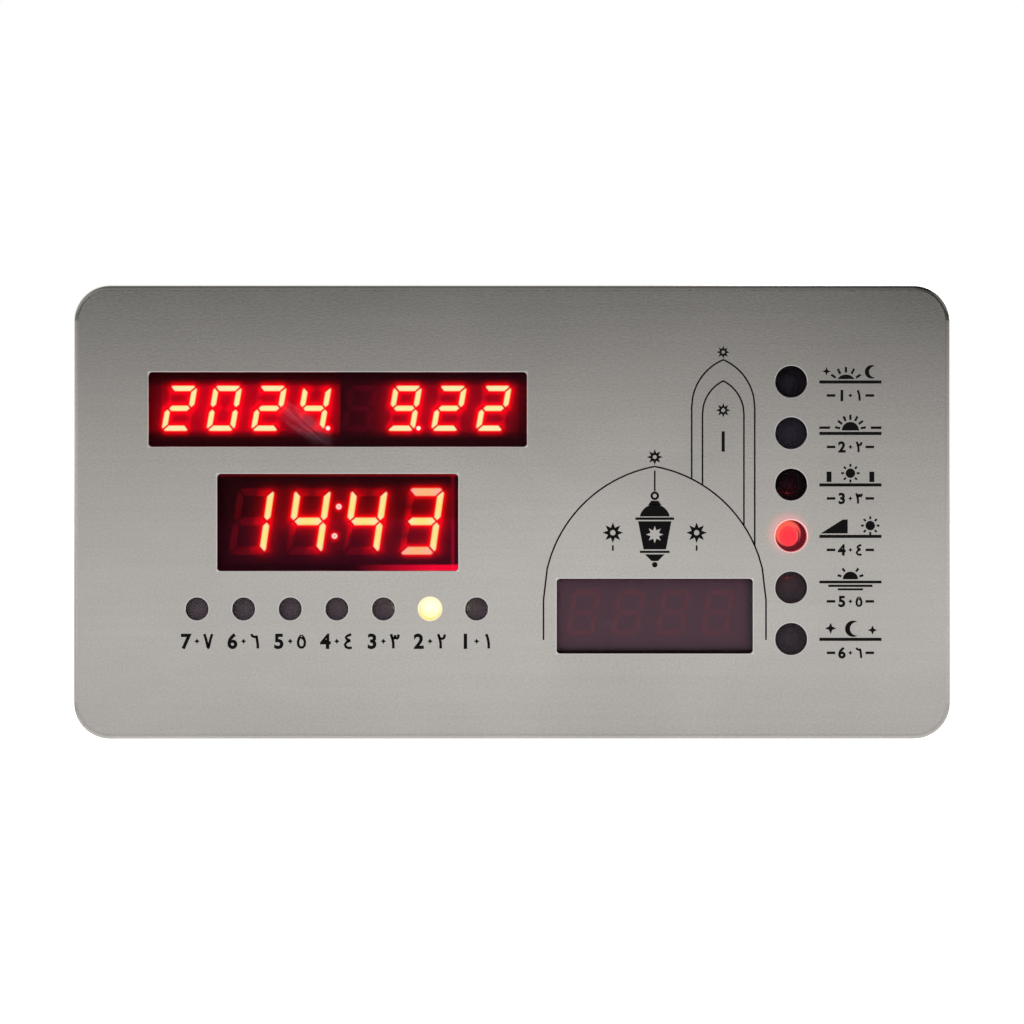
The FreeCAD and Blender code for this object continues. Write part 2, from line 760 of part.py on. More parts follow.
# ---------------------------------------------------------------- case screws
# Cross-headed screws, sunk in the back, that pull the tub against the pillars.
head_back = "(Sizes.screw_recess - Sizes.screw_head_height)"
case_screws = keep(body("case_screws"))
drawing = Drawing(case_screws, "XZ_Plane", head_back)
for x, z in FIXINGS:
    drawing.circle(x, z, of("screw_head_width"))
drawing.pad(of("screw_head_height"))
soften(case_screws, "Fillet", "Sizes.screw_head_height / 2", at_height(head_back))
drawing = Drawing(case_screws, "XZ_Plane", of("screw_recess"))
for x, z in FIXINGS:
    drawing.circle(x, z, of("thread_width"))
drawing.pad(of("screw_length"))
for width, height in (("cross_length", "cross_width"), ("cross_width", "cross_length")):
    drawing = Drawing(case_screws, "XZ_Plane", head_back)
    for x, z in FIXINGS:
        drawing.rectangle(x, z, of(width), of(height))
    drawing.pocket(of("cross_depth"), reverse=True)


# ---------------------------------------------------------------- digit modules
# Each module is a moulded case with cavities in its face, filled flush with clear epoxy.
def segment_corners(start, end, outward, start_tip, end_tip, stroke, gap):
    """One stroke of a digit between two joints, its ends cut at 45 degrees; a tip is how far the
    end's point leans outwards from the centre line."""
    along = (end - start).normalize()
    half = stroke / 2
    return [
        start + along * (gap - start_tip) + outward * start_tip,
        start + along * (gap + half - 2 * start_tip) + outward * half,
        end - along * (gap + half - 2 * end_tip) + outward * half,
        end - along * (gap - end_tip) + outward * end_tip,
        end - along * (gap + half) - outward * half,
        start + along * (gap + half) - outward * half,
    ]


def digit_strokes(height, width, stroke, gap):
    """The seven strokes of an upright digit about its own middle, in the order a to g."""
    tall = (height - stroke) / 2
    wide = (width - stroke) / 2
    tip = stroke / 4
    joint = {(column, level): Vector(column * wide, level * tall, 0)
             for column in (-1, 1) for level in (-1, 0, 1)}
    right, left, up, down = Vector(1, 0, 0), Vector(-1, 0, 0), Vector(0, 1, 0), Vector(0, -1, 0)
    runs = [
        ((-1, 1), (1, 1), up, tip, tip),
        ((1, 1), (1, 0), right, tip, 0),
        ((1, 0), (1, -1), right, 0, tip),
        ((-1, -1), (1, -1), down, tip, tip),
        ((-1, 0), (-1, -1), left, 0, tip),
        ((-1, 1), (-1, 0), left, tip, 0),
        ((-1, 0), (1, 0), up, 0, 0),
    ]
    return [segment_corners(joint[start], joint[end], outward, first, last, stroke, gap)
            for start, end, outward, first, last in runs]


def segments(label, name, colon):
    """Every lit element of a module: four slanted digits, their points and, on a clock module, a colon."""
    size = MODULE_SIZES[name]
    pitch, height, width, stroke, slant, dot, depth = (
        number(of(f"{size}_{word}"))
        for word in ("pitch", "digit_height", "digit_width", "stroke", "slant", "dot", "depth"))
    shear = math.tan(math.radians(slant))
    middle_x = number(MODULE_PLACES[name][0]) + number(of("digit_shift"))
    middle_z = number(MODULE_PLACES[name][1])
    face = number(board_front) + depth
    sunk = number(of("segment_depth"))

    def place(point, offset):
        return Vector(middle_x + offset + point.x + point.y * shear, -face, middle_z + point.y)

    solids = []
    dots = []
    for index in range(4):
        offset = (index - 1.5) * pitch
        for corners in digit_strokes(height, width, stroke, number(of("segment_gap"))):
            points = [place(corner, offset) for corner in corners]
            face_shape = Part.Face(Part.makePolygon(points + points[:1]))
            solids.append(face_shape.extrude(Vector(0, sunk, 0)))
        reach = width / 2 + number(of("dot_gap")) + dot / 2
        dots.append(place(Vector(reach, -(height - stroke) / 2, 0), offset))
    if colon:
        for side in (-1, 1):
            dots.append(place(Vector(0, side * number(of("colon_spread")) * height / 2, 0), 0))
    for point in dots:
        solids.append(Part.makeCylinder(dot / 2, sunk, point, Vector(0, 1, 0)))
    item = doc.addObject("Part::Feature", label)
    item.Label = label
    item.Shape = Part.makeCompound(solids)
    item.Placement = FreeCAD.Placement()
    return item


def display(name, segment_label, colon):
    size = MODULE_SIZES[name]
    x, z = MODULE_PLACES[name]
    blank = block(f"{name}_blank", x, z, of(f"{size}_width"), of(f"{size}_height"), board_front,
                  of(f"{size}_depth"))
    lit = segments(segment_label, name, colon)
    keep(cut(name, blank, lit))
    keep(lit)


display("date_display_left", "date_left_segments", colon=False)
display("date_display_right", "date_right_segments", colon=False)
display("time_display", "time_segments", colon=True)
display("azan_display", "azan_segments", colon=True)


def wire_ends(label, places):
    """Straight tinned wires through the board, from behind it up to the part they belong to."""
    item = keep(body(label))
    drawing = Drawing(item, "XZ_Plane", lead_end)
    for x, z in places:
        drawing.circle(x, z, of("lead_width"))
    drawing.pad(f"{board_front} - {lead_end}")


wire_ends("display_pins", DISPLAY_PINS)
wire_ends("lamp_leads", LAMP_LEADS)


# ---------------------------------------------------------------- lamps
# Round 5 mm lamps that stand on the board, their domes just behind the filter.
def lamp(label, x, z):
    shoulder = "(Sizes.lamp_height - Sizes.lamp_width / 2)"
    keep(turned(label, x, z, board_front, [
        ("0", "0"),
        ("Sizes.lamp_rim_width / 2", "0"),
        ("Sizes.lamp_rim_width / 2", "Sizes.lamp_rim_height"),
        ("Sizes.lamp_width / 2", "Sizes.lamp_rim_height"),
        ("Sizes.lamp_width / 2", shoulder, "Sizes.lamp_width / 2", -1),
        ("0", "Sizes.lamp_height"),
    ]))


for index, (x, z) in enumerate(DAY_PLACES, start=1):
    lamp(f"day_lamp_{index}", x, z)
for index, (x, z) in enumerate(PRAYER_PLACES, start=1):
    lamp(f"prayer_lamp_{index}", x, z)


# Black strips that keep the lamps square and stop light crossing from one to the next.
def lamp_holder(label, places, x, z, width, height):
    holder = keep(body(label))
    drawing = Drawing(holder, "XZ_Plane", board_front)
    drawing.rectangle(x, z, width, height, "Sizes.lamp_holder_margin / 2")
    for lamp_x, lamp_z in places:
        drawing.circle(lamp_x, lamp_z, "(Sizes.lamp_width + 2 * Sizes.lamp_bore_gap)")
    drawing.pad(of("lamp_holder_height"))
    drawing = Drawing(holder, "XZ_Plane", board_front)
    for lamp_x, lamp_z in places:
        drawing.circle(lamp_x, lamp_z, "(Sizes.lamp_rim_width + 2 * Sizes.lamp_bore_gap)")
    drawing.pocket("Sizes.lamp_rim_height + Sizes.lamp_bore_gap", reverse=True)


lamp_holder("day_lamp_holder", DAY_PLACES, day_lamp_x, of("day_lamp_z"),
            f"({DAY_LAMPS - 1} * Sizes.day_lamp_pitch + 2 * Sizes.lamp_holder_margin)",
            "(2 * Sizes.lamp_holder_margin)")
lamp_holder("prayer_lamp_holder", PRAYER_PLACES, prayer_lamp_x, of("prayer_lamp_z"),
            "(2 * Sizes.lamp_holder_margin)",
            f"({PRAYER_LAMPS - 1} * Sizes.prayer_lamp_pitch + 2 * Sizes.lamp_holder_margin)")


# ---------------------------------------------------------------- chips on the back of the board
# A chip is a moulded block a hair off the board; its leads come out of two or four sides.
def chip(label, x, z, width, height, thick):
    return block(label, x, z, width, height, f"({board_back} - Sizes.chip_stand - {thick})", thick)


def chip_leads(label, x, z, width, height, count, pitch, thick, across=True):
    """Flat feet on the board and short risers into the chip's two long sides, or its two short ones."""
    pieces = []
    lead = of("chip_lead_width")
    for side in (-1, 1):
        for step in row_places(count, x if across else z, pitch):
            if across:
                foot_x, foot_z = step, f"({z} + {side} * ({height} + Sizes.chip_lead_reach) / 2)"
                foot_width, foot_height = lead, of("chip_lead_reach")
            else:
                foot_x, foot_z = f"({x} + {side} * ({width} + Sizes.chip_lead_reach) / 2)", step
                foot_width, foot_height = of("chip_lead_reach"), lead
            pieces.append(block(f"{label}_foot", foot_x, foot_z, foot_width, foot_height,
                                f"({board_back} - {thick} / 2)", f"({thick} / 2)"))
    return pieces


CHIP_MIDDLE = (chip_x, of("chip_z"))
MEMORY_MIDDLE = (of("audio_x"), of("memory_z"))
AMPLIFIER_MIDDLE = (of("audio_x"), of("amplifier_z"))
keep(chip("microcontroller", *CHIP_MIDDLE, of("chip_width"), of("chip_width"), of("chip_thick")))
DRIVER_MIDDLES = [(x, of("driver_z")) for x in row_places(DRIVERS, driver_x, of("driver_pitch"))]
keep(group("display_drivers", [
    chip(f"driver_{index}", x, z, of("driver_width"), of("driver_height"), of("driver_thick"))
    for index, (x, z) in enumerate(DRIVER_MIDDLES)]))
keep(chip("sound_memory", *MEMORY_MIDDLE, of("memory_width"), of("memory_width"), of("chip_thick")))
keep(chip("audio_amplifier", *AMPLIFIER_MIDDLE, of("amplifier_width"), of("amplifier_height"),
          of("chip_thick")))

leads = []
for across in (True, False):
    leads += chip_leads("chip", *CHIP_MIDDLE, of("chip_width"), of("chip_width"), CHIP_SIDE_LEADS,
                        of("chip_lead_pitch"), of("chip_thick"), across)
for middle in DRIVER_MIDDLES:
    leads += chip_leads("driver", *middle, of("driver_width"), of("driver_height"), DRIVER_SIDE_LEADS,
                        of("driver_lead_pitch"), of("driver_thick"))
leads += chip_leads("memory", *MEMORY_MIDDLE, of("memory_width"), of("memory_width"), SMALL_SIDE_LEADS,
                    of("driver_lead_pitch"), of("chip_thick"))
leads += chip_leads("amplifier", *AMPLIFIER_MIDDLE, of("amplifier_width"), of("amplifier_height"),
                    SMALL_SIDE_LEADS, of("driver_lead_pitch"), of("chip_thick"))
keep(group("chip_leads", leads))

# Regulator: a moulded block whose metal tab is soldered flat to the board for cooling.
keep(group("voltage_regulator", [
    chip("regulator_block", regulator_x, of("regulator_z"), of("regulator_width"),
         of("regulator_height"), of("regulator_thick")),
    block("regulator_tab", regulator_x,
          "(Sizes.regulator_z + (Sizes.regulator_height + Sizes.tab_reach) / 2)", of("tab_width"),
          of("tab_reach"), f"({board_back} - Sizes.tab_thick)", of("tab_thick")),
]))

# Crystal: a drawn metal can with rounded ends, lying against the board.
clock_crystal = keep(body("clock_crystal"))
drawing = Drawing(clock_crystal, "XZ_Plane", f"({board_back} - Sizes.crystal_thick)")
drawing.rectangle(crystal_x, of("crystal_z"), of("crystal_width"), of("crystal_height"),
                  of("crystal_corner"))
drawing.pad(of("crystal_thick"))
soften(clock_crystal, "Fillet", of("crystal_edge"), at_height(f"({board_back} - Sizes.crystal_thick)"))

# Capacitors: upright cans standing on the board.
can_end = f"({board_back} - Sizes.capacitor_height)"
capacitors = keep(body("capacitors"))
drawing = Drawing(capacitors, "XZ_Plane", can_end)
for x in row_places(CAPACITORS, capacitor_x, of("capacitor_pitch")):
    drawing.circle(x, of("capacitor_z"), of("capacitor_width"))
drawing.pad(of("capacitor_height"))
soften(capacitors, "Fillet", of("capacitor_edge"), at_height(can_end))

# Resistors that set the lamps' current, in one row.
keep(group("resistors", [
    block(f"resistor_{index}", x, of("resistor_z"), of("resistor_width"), of("resistor_height"),
          f"({board_back} - Sizes.resistor_thick)", of("resistor_thick"))
    for index, x in enumerate(row_places(RESISTORS, resistor_x, of("resistor_pitch")))]))

# ---------------------------------------------------------------- back-up cell and its holder
# An open ring on the board holds the cell, with a spring clip across its outer face.
cell_seat = f"({board_back} - Sizes.cell_floor)"
cell_face = f"({cell_seat} - Sizes.cell_thick)"
holder_outside = "(Sizes.cell_width + 2 * Sizes.cell_fit + 2 * Sizes.cell_wall)"
cell_holder = keep(body("cell_holder"))
drawing = Drawing(cell_holder, "XZ_Plane", cell_face)
drawing.circle(cell_x, of("cell_z"), holder_outside)
drawing.pad(f"{board_back} - {cell_face}")
drawing = Drawing(cell_holder, "XZ_Plane", cell_face)
drawing.circle(cell_x, of("cell_z"), "(Sizes.cell_width + 2 * Sizes.cell_fit)")
drawing.pocket(of("cell_thick"), reverse=True)
cell_step = "(Sizes.cell_width / 2 - Sizes.cell_step_width)"
cell_shoulder = "(Sizes.cell_thick - Sizes.cell_step_height)"
keep(turned("coin_cell", cell_x, of("cell_z"), cell_face, [
    ("0", "0"),
    ("Sizes.cell_width / 2", "0"),
    ("Sizes.cell_width / 2", cell_shoulder),
    (cell_step, cell_shoulder),
    (cell_step, "Sizes.cell_thick"),
    ("0", "Sizes.cell_thick"),
]))
clip_span = f"({holder_outside} + 2 * Sizes.clip_thick)"
clip_bar = block("clip_bar", cell_x, of("cell_z"), of("clip_width"), clip_span,
                 f"({cell_face} - Sizes.clip_thick)", of("clip_thick"))
clip_legs = [block(f"clip_leg_{side}", cell_x,
                   f"(Sizes.cell_z + {side} * ({holder_outside} + Sizes.clip_thick) / 2)", of("clip_width"),
                   of("clip_thick"), f"({cell_face} - Sizes.clip_thick)",
                   f"({board_back} - {cell_face} + Sizes.clip_thick)") for side in (-1, 1)]
keep(join("cell_clip", [clip_bar] + clip_legs))

# ---------------------------------------------------------------- low-voltage inlet
# Moulded socket on the board's edge, its mouth behind the round opening in the bottom wall.
jack_mouth = f"({bottom_inside} + Sizes.jack_wall_gap)"
jack_end = f"({jack_mouth} + Sizes.jack_length)"
power_jack = keep(body("power_jack"))
drawing = Drawing(power_jack, "XY_Plane", jack_mouth)
drawing.rectangle(jack_x, f"(-({board_back} - Sizes.jack_height / 2))", of("jack_width"),
                  of("jack_height"))
drawing.pad(of("jack_length"))
drawing = Drawing(power_jack, "XY_Plane", jack_mouth)
drawing.circle(jack_x, f"(-{jack_height_axis})", of("jack_bore"))
drawing.pocket(of("jack_bore_depth"), reverse=True)
jack_pin = keep(body("jack_pin"))
drawing = Drawing(jack_pin, "XY_Plane", f"({jack_mouth} + Sizes.jack_pin_setback)")
drawing.circle(jack_x, f"(-{jack_height_axis})", of("jack_pin_width"))
drawing.pad("Sizes.jack_bore_depth - Sizes.jack_pin_setback")
pin_tip = number(f"({jack_mouth} + Sizes.jack_pin_setback)")
soften(jack_pin, "Fillet", of("jack_pin_round"), lambda edge: abs(edge.BoundBox.ZMax - pin_tip) < 1e-4)

# ---------------------------------------------------------------- keys and their switches
# Each key sits in the bottom wall, its collar inside, its post in the switch on the board's edge.
collar_low = f"({bottom_inside} + Sizes.key_play)"
collar_high = f"({collar_low} + Sizes.key_collar_thick)"
switch_low = f"({collar_high} + Sizes.key_travel + Sizes.key_play)"
key_low = f"({bottom_outside} - Sizes.key_proud)"
for label, x in zip(KEY_NAMES, KEY_PLACES):
    key = keep(body(label))
    drawing = Drawing(key, "XY_Plane", key_low)
    drawing.rectangle(x, f"(-{key_axis})", of("key_width"), of("key_height"), of("key_corner"))
    drawing.pad(f"{collar_low} - {key_low}")
    face_level = number(key_low)
    soften(key, "Fillet", "Sizes.key_proud / 3", lambda edge: abs(edge.BoundBox.ZMax - face_level) < 1e-4)
    drawing = Drawing(key, "XY_Plane", collar_low)
    drawing.rectangle(x, f"(-{key_axis})", "(Sizes.key_width + 2 * Sizes.key_collar)",
                      "(Sizes.key_height + 2 * Sizes.key_collar)", of("key_corner"))
    drawing.pad(of("key_collar_thick"))
    drawing = Drawing(key, "XY_Plane", collar_high)
    drawing.circle(x, f"(-{key_axis})", of("key_post_width"))
    drawing.pad("Sizes.key_travel + Sizes.key_play + Sizes.key_post_length")
key_switches = keep(body("key_switches"))
drawing = Drawing(key_switches, "XY_Plane", switch_low)
for x in KEY_PLACES:
    drawing.rectangle(x, f"(-{key_axis})", of("switch_width"), "(2 * Sizes.key_setback)")
drawing.pad(of("switch_depth"))
drawing = Drawing(key_switches, "XY_Plane", switch_low)
for x in KEY_PLACES:
    drawing.circle(x, f"(-{key_axis})", "(Sizes.key_post_width + 2 * Sizes.key_play)")
drawing.pocket("Sizes.key_post_length + Sizes.key_travel + Sizes.key_play", reverse=True)

# ---------------------------------------------------------------- speaker
# Pressed basket screwed to the raised floor, facing the slots; heights are from its seat.
seat_radius = "(Sizes.speaker_width / 2)"
rim_inside = "(Sizes.speaker_width / 2 - Sizes.speaker_rim)"
basket_radius = "(Sizes.basket_width / 2)"
coil_outside = "(Sizes.coil_width / 2 + Sizes.coil_thick)"
keep(turned("speaker_frame", speaker_x, of("speaker_z"), speaker_seat, [
    (seat_radius, "0"), (seat_radius, "Sizes.speaker_rim_thick"),
    (f"{rim_inside} + Sizes.basket_thick", "Sizes.speaker_rim_thick"),
    (f"{basket_radius} + Sizes.basket_thick", "Sizes.basket_depth"),
    (f"{coil_outside} + Sizes.coil_gap", "Sizes.basket_depth"),
    (f"{coil_outside} + Sizes.coil_gap", "Sizes.basket_depth - Sizes.basket_thick"),
    (basket_radius, "Sizes.basket_depth - Sizes.basket_thick"),
    (rim_inside, "Sizes.speaker_rim_thick - Sizes.basket_thick / 4"),
    (rim_inside, "0"),
]))
magnet_end = "(Sizes.basket_depth + Sizes.magnet_depth)"
groove_floor = "(Sizes.basket_depth + Sizes.groove_depth)"
keep(turned("speaker_magnet", speaker_x, of("speaker_z"), speaker_seat, [
    ("0", magnet_end), ("0", "Sizes.basket_depth"),
    ("Sizes.coil_width / 2 - Sizes.coil_gap", "Sizes.basket_depth"),
    ("Sizes.coil_width / 2 - Sizes.coil_gap", groove_floor),
    (f"{coil_outside} + Sizes.coil_gap", groove_floor),
    (f"{coil_outside} + Sizes.coil_gap", "Sizes.basket_depth"),
    ("Sizes.magnet_width / 2", "Sizes.basket_depth"), ("Sizes.magnet_width / 2", magnet_end),
]))
surround_inside = f"({rim_inside} - Sizes.surround_width)"
surround_crest = f"({rim_inside} - Sizes.surround_width / 2)"
keep(turned("speaker_surround", speaker_x, of("speaker_z"), speaker_seat, [
    (rim_inside, "Sizes.surround_seat"),
    (surround_crest, "Sizes.surround_seat - Sizes.surround_rise"),
    (surround_inside, "Sizes.speaker_rim_thick"),
    (surround_inside, "Sizes.speaker_rim_thick + Sizes.surround_thick"),
    (surround_crest, "Sizes.surround_seat - Sizes.surround_rise + Sizes.surround_thick"),
    (rim_inside, "Sizes.surround_seat + Sizes.surround_thick"),
]))
cone_edge = f"({surround_inside} - Sizes.cone_gap)"
cone_back = "(Sizes.basket_depth - Sizes.basket_thick - Sizes.cone_play)"
coil_end = "(Sizes.basket_depth + Sizes.coil_reach)"
keep(turned("speaker_cone", speaker_x, of("speaker_z"), speaker_seat, [
    ("0", "Sizes.dust_cap_height"),
    (coil_outside, f"{cone_back} - 2 * Sizes.cone_thick"),
    (cone_edge, "Sizes.speaker_rim_thick"),
    (cone_edge, "Sizes.speaker_rim_thick + Sizes.cone_thick"),
    (coil_outside, cone_back),
    (coil_outside, coil_end),
    ("Sizes.coil_width / 2", coil_end),
    ("Sizes.coil_width / 2", f"{cone_back} - Sizes.cone_thick"),
    ("0", "Sizes.dust_cap_height + Sizes.cone_thick"),
]))
ear_face = f"({speaker_seat} + Sizes.speaker_rim_thick)"
ear_head_face = f"({ear_face} + Sizes.ear_head_height)"
speaker_screws = keep(body("speaker_screws"))
drawing = Drawing(speaker_screws, "XZ_Plane", ear_face)
for x, z in EARS:
    drawing.circle(x, z, of("ear_head_width"))
drawing.pad(of("ear_head_height"))
soften(speaker_screws, "Fillet", "Sizes.ear_head_height / 2", at_height(ear_head_face))
drawing = Drawing(speaker_screws, "XZ_Plane", ear_face)
for x, z in EARS:
    drawing.circle(x, z, of("ear_screw_width"))
drawing.pad(of("ear_reach"), reverse=True)

# Tag strip on the basket's rim, and the socket on the board that its two wires run to.
tag_width = "(Sizes.speaker_rim - Sizes.basket_thick - Sizes.tag_gap)"
tag_x = f"({speaker_x} - Sizes.speaker_width / 2 + {tag_width} / 2)"
tag_face = f"({ear_face} + Sizes.tag_thick)"
keep(block("speaker_tags", tag_x, of("speaker_z"), tag_width, of("tag_height"), ear_face, of("tag_thick")))
keep(block("speaker_socket", of("audio_x"), of("socket_z"), of("socket_width"), of("socket_height"),
           f"({board_back} - Sizes.socket_depth)", of("socket_depth")))


def wire_path(points):
    """Straight runs joined by tangent arcs, each as large as its two runs allow."""
    edges = []
    start = points[0]
    for before, corner, after in zip(points, points[1:], points[2:]):
        inward = (before - corner).normalize()
        outward = (after - corner).normalize()
        half_turn = (math.pi - inward.getAngle(outward)) / 2
        tangent = 0.45 * min((before - corner).Length, (after - corner).Length)
        radius = tangent / math.tan(half_turn)
        first = corner + inward * tangent
        last = corner + outward * tangent
        centre_way = (inward + outward).normalize()
        middle = corner + centre_way * (radius / math.cos(half_turn) - radius)
        edges.append(Part.LineSegment(start, first).toShape())
        edges.append(Part.Arc(first, middle, last).toShape())
        start = last
    edges.append(Part.LineSegment(start, points[-1]).toShape())
    return Part.Wire(edges)


def wire(side):
    """One wire from the socket's upper side, along the board and down on its tag."""
    offset = side * number("Sizes.wire_spread / 2")
    level = -number(f"({board_back} - Sizes.wire_entry)")
    across = number(of("audio_x")) + offset
    turn_z = number(of("speaker_z")) - offset
    tag = number(tag_x)
    path = wire_path([
        Vector(across, level, number("Sizes.socket_z + Sizes.socket_height / 2")),
        Vector(across, level, turn_z),
        Vector(tag, level, turn_z),
        Vector(tag, -number(tag_face), turn_z),
    ])
    section = Part.Wire(Part.makeCircle(number("Sizes.wire_width / 2"), path.Vertexes[0].Point, UP))
    return path.makePipeShell([section], True, False)


speaker_wires = keep(doc.addObject("Part::Feature", "speaker_wires"))
speaker_wires.Label = "speaker_wires"
speaker_wires.Shape = Part.makeCompound([wire(side) for side in (-1, 1)])
speaker_wires.Placement = FreeCAD.Placement()

# ---------------------------------------------------------------- checks and files
doc.recompute()
for item in doc.Objects:
    if "Invalid" in item.State or "Error" in item.State:
        raise RuntimeError(f"{item.Label} failed: {item.State}")
for item in doc.findObjects("PartDesign::Pocket"):
    if item.Shape.Volume > item.BaseFeature.Shape.Volume - 1e-6:
        raise RuntimeError(f"{item.Label} cuts nothing")
os.makedirs("parts", exist_ok=True)
for item in parts:
    if item.Shape.isNull() or not item.Shape.isValid():
        raise RuntimeError(f"{item.Label} has no valid shape")
    item.Shape.exportStep(f"parts/{item.Label}.step")
print(len(parts), "sub-parts")
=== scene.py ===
import math

import bpy
import numpy as np
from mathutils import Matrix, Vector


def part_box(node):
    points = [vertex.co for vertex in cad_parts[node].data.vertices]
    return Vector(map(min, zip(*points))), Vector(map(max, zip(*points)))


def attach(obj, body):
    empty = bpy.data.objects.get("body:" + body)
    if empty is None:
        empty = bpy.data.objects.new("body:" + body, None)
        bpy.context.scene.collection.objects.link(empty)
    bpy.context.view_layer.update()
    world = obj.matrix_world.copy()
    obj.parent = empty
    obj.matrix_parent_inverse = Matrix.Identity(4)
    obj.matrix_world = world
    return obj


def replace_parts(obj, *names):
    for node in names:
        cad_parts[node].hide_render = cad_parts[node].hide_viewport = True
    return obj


# A wall-hung prayer-time clock in a stainless face, in metres. X is to the right as the clock is
# looked at, Z is up, the clock faces -Y, and its flat back lies at y = 0.
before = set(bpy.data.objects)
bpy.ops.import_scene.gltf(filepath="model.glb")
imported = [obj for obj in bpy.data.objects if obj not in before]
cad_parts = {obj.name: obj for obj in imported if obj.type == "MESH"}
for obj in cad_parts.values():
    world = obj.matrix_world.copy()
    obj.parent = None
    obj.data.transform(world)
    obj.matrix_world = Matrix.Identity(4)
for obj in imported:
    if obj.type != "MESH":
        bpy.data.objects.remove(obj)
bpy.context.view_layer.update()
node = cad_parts

# ---------------------------------------------------------------- front plate
# A shallow tray pressed from stainless sheet. Face and flange are brushed sideways with an
# abrasive belt, then the windows are punched; handling leaves faint clouds on the grain.
STEEL_LIGHT = (0.795, 0.757, 0.710)
STEEL_DARK = (0.715, 0.683, 0.640)
# a painted highlight along the rim of each cut, painted shade on the walls of the cuts, and the width of that
# rim
CUT_PAINTED_HIGHLIGHT = (1.0, 0.99, 0.97)
CUT_WALL_PAINTED_SHADE = (0.10, 0.09, 0.09)
CUT_RIM = 0.00034
FACE = -0.0300
# where the wall of a cut, which has painted shade, begins: this far behind the face, and this far from the
# cut's edge
WALL_DEPTH = (FACE + 0.00012, FACE + 0.00020)
WALL_GAP = (0.0001, 0.0002)
# middle across, middle up, width and height of the three windows
WINDOWS = ((-0.0387, 0.0228, 0.0840, 0.0165), (-0.0387, -0.0023, 0.0535, 0.0215),
           (0.0317, -0.0231, 0.0435, 0.0165))
# first and last lamp of each row of holes, how many there are, and the radius of a hole
HOLE_ROWS = (("day_lamp_1", "day_lamp_7", 7, 0.0025), ("prayer_lamp_6", "prayer_lamp_1", 6, 0.0035))
# the two lamps that are alight; their light is painted on the steel as a glow round the rims of their holes,
# and as a painted glow beside the hour's lamp: each is a colour, and where it begins and ends to fade
LIT_DAY = "day_lamp_6"
LIT_HOUR = "prayer_lamp_4"
DAY_RIM_GLOW, DAY_RIM_REACH = (0.75, 0.525, 0.21), (0.0026, 0.0029)
HOUR_RIM_GLOW, HOUR_RIM_REACH = (0.42, 0.1512, 0.1428), (0.0036, 0.0040)
HOUR_PAINTED_GLOW, HOUR_GLOW_REACH = (0.26, 0.0156, 0.0182), (0.0032, 0.0068)
HOUR_GLOW_SHIFT = (-0.0007, 0.0006)


class Signal:
    """What runs along one link of a material; arithmetic on it adds Math nodes."""

    def __init__(self, finish, socket):
        self.finish = finish
        self.socket = socket

    def math(self, operation, *values):
        sockets = dict(zip(("Value", "Value_001", "Value_002"), values))
        return self.finish.add("Math", {"operation": operation}, sockets)

    def __add__(self, other):
        return self.math("ADD", self, other)

    def __sub__(self, other):
        return self.math("SUBTRACT", self, other)

    def __rsub__(self, other):
        return self.math("SUBTRACT", other, self)

    def __mul__(self, other):
        return self.math("MULTIPLY", self, other)

    __radd__ = __add__
    __rmul__ = __mul__

    def size(self):
        return self.math("ABSOLUTE", self)

    def root(self):
        return self.math("SQRT", self)

    def least(self, other):
        return self.math("MINIMUM", self, other)

    def most(self, other):
        return self.math("MAXIMUM", self, other)

    def limited(self):
        return self.least(1.0).most(0.0)

    def eased(self, low, high):
        """0 up to low, 1 from high on, and a smooth rise between them."""
        return self.finish.add("MapRange", {"interpolation_type": "SMOOTHSTEP"},
                               {"Value": self, "From Min": low, "From Max": high})


class Finish:
    """The nodes of one finish."""

    def __init__(self, tree):
        self.tree = tree
        tree.nodes.clear()

    def add(self, kind, settings, sockets, output=0):
        """A node: its settings first, then a value or a link for each socket that is named."""
        item = self.tree.nodes.new(f"ShaderNode{kind}")
        for name, value in settings.items():
            setattr(item, name, value)
        inputs = {socket.identifier: socket for socket in item.inputs}
        for name, value in sockets.items():
            if isinstance(value, Signal):
                self.tree.links.new(value.socket, inputs[name])
            elif isinstance(value, tuple) and len(inputs[name].default_value) == 4:
                inputs[name].default_value = (*value, 1.0)
            else:
                inputs[name].default_value = value
        return Signal(self, item.outputs[output])

    def place(self, stretch=(1, 1, 1)):
        """A point of the object, in metres, times a stretch along each axis."""
        return self.add("Mapping", {}, {"Vector": self.add("TexCoord", {}, {}, output=3),
                                        "Scale": stretch})

    def noise(self, fineness, detail=3.0, warp=0.0):
        """Cloudy noise, its fineness one number or one for each axis."""
        stretch = fineness if isinstance(fineness, tuple) else (fineness,) * 3
        return self.add("TexNoise", {}, {"Vector": self.place(stretch), "Scale": 1.0, "Detail": detail,
                                         "Distortion": warp})

    def distance(self, centre, stretch=(1, 1, 1)):
        """How far a point is from a centre, counted along each axis by its stretch."""
        target = tuple(a * b for a, b in zip(centre, stretch))
        return self.add("VectorMath", {"operation": "DISTANCE"},
                        {"Vector": self.place(stretch), "Vector_001": target}, output=1)

    def along(self, axis):
        """How far a point lies to the right of the middle (X), behind the wall (Y) or up (Z)."""
        return self.add("SeparateXYZ", {}, {"Vector": self.place()}, output=axis)

    def mixed(self, share, first, second):
        return self.add("Mix", {"data_type": "RGBA"},
                        {"Factor_Float": share, "A_Color": first, "B_Color": second}, output=2)

    def scaled(self, colour, factor):
        return self.add("VectorMath", {"operation": "SCALE"}, {"Vector": colour, "Scale": factor})

    def relief(self, height, depth):
        return self.add("Bump", {}, {"Height": height, "Distance": depth, "Strength": 1.0})

    def surface(self, **sockets):
        named = {name.replace("_", " "): value for name, value in sockets.items()}
        self.show(self.add("BsdfPrincipled", {}, named))

    def show(self, shader, kind="Material"):
        item = self.tree.nodes.new(f"ShaderNodeOutput{kind}")
        self.tree.links.new(shader.socket, item.inputs["Surface"])


def new_finish(name):
    material = bpy.data.materials.new(name)
    material.use_nodes = True
    return material, Finish(material.node_tree)


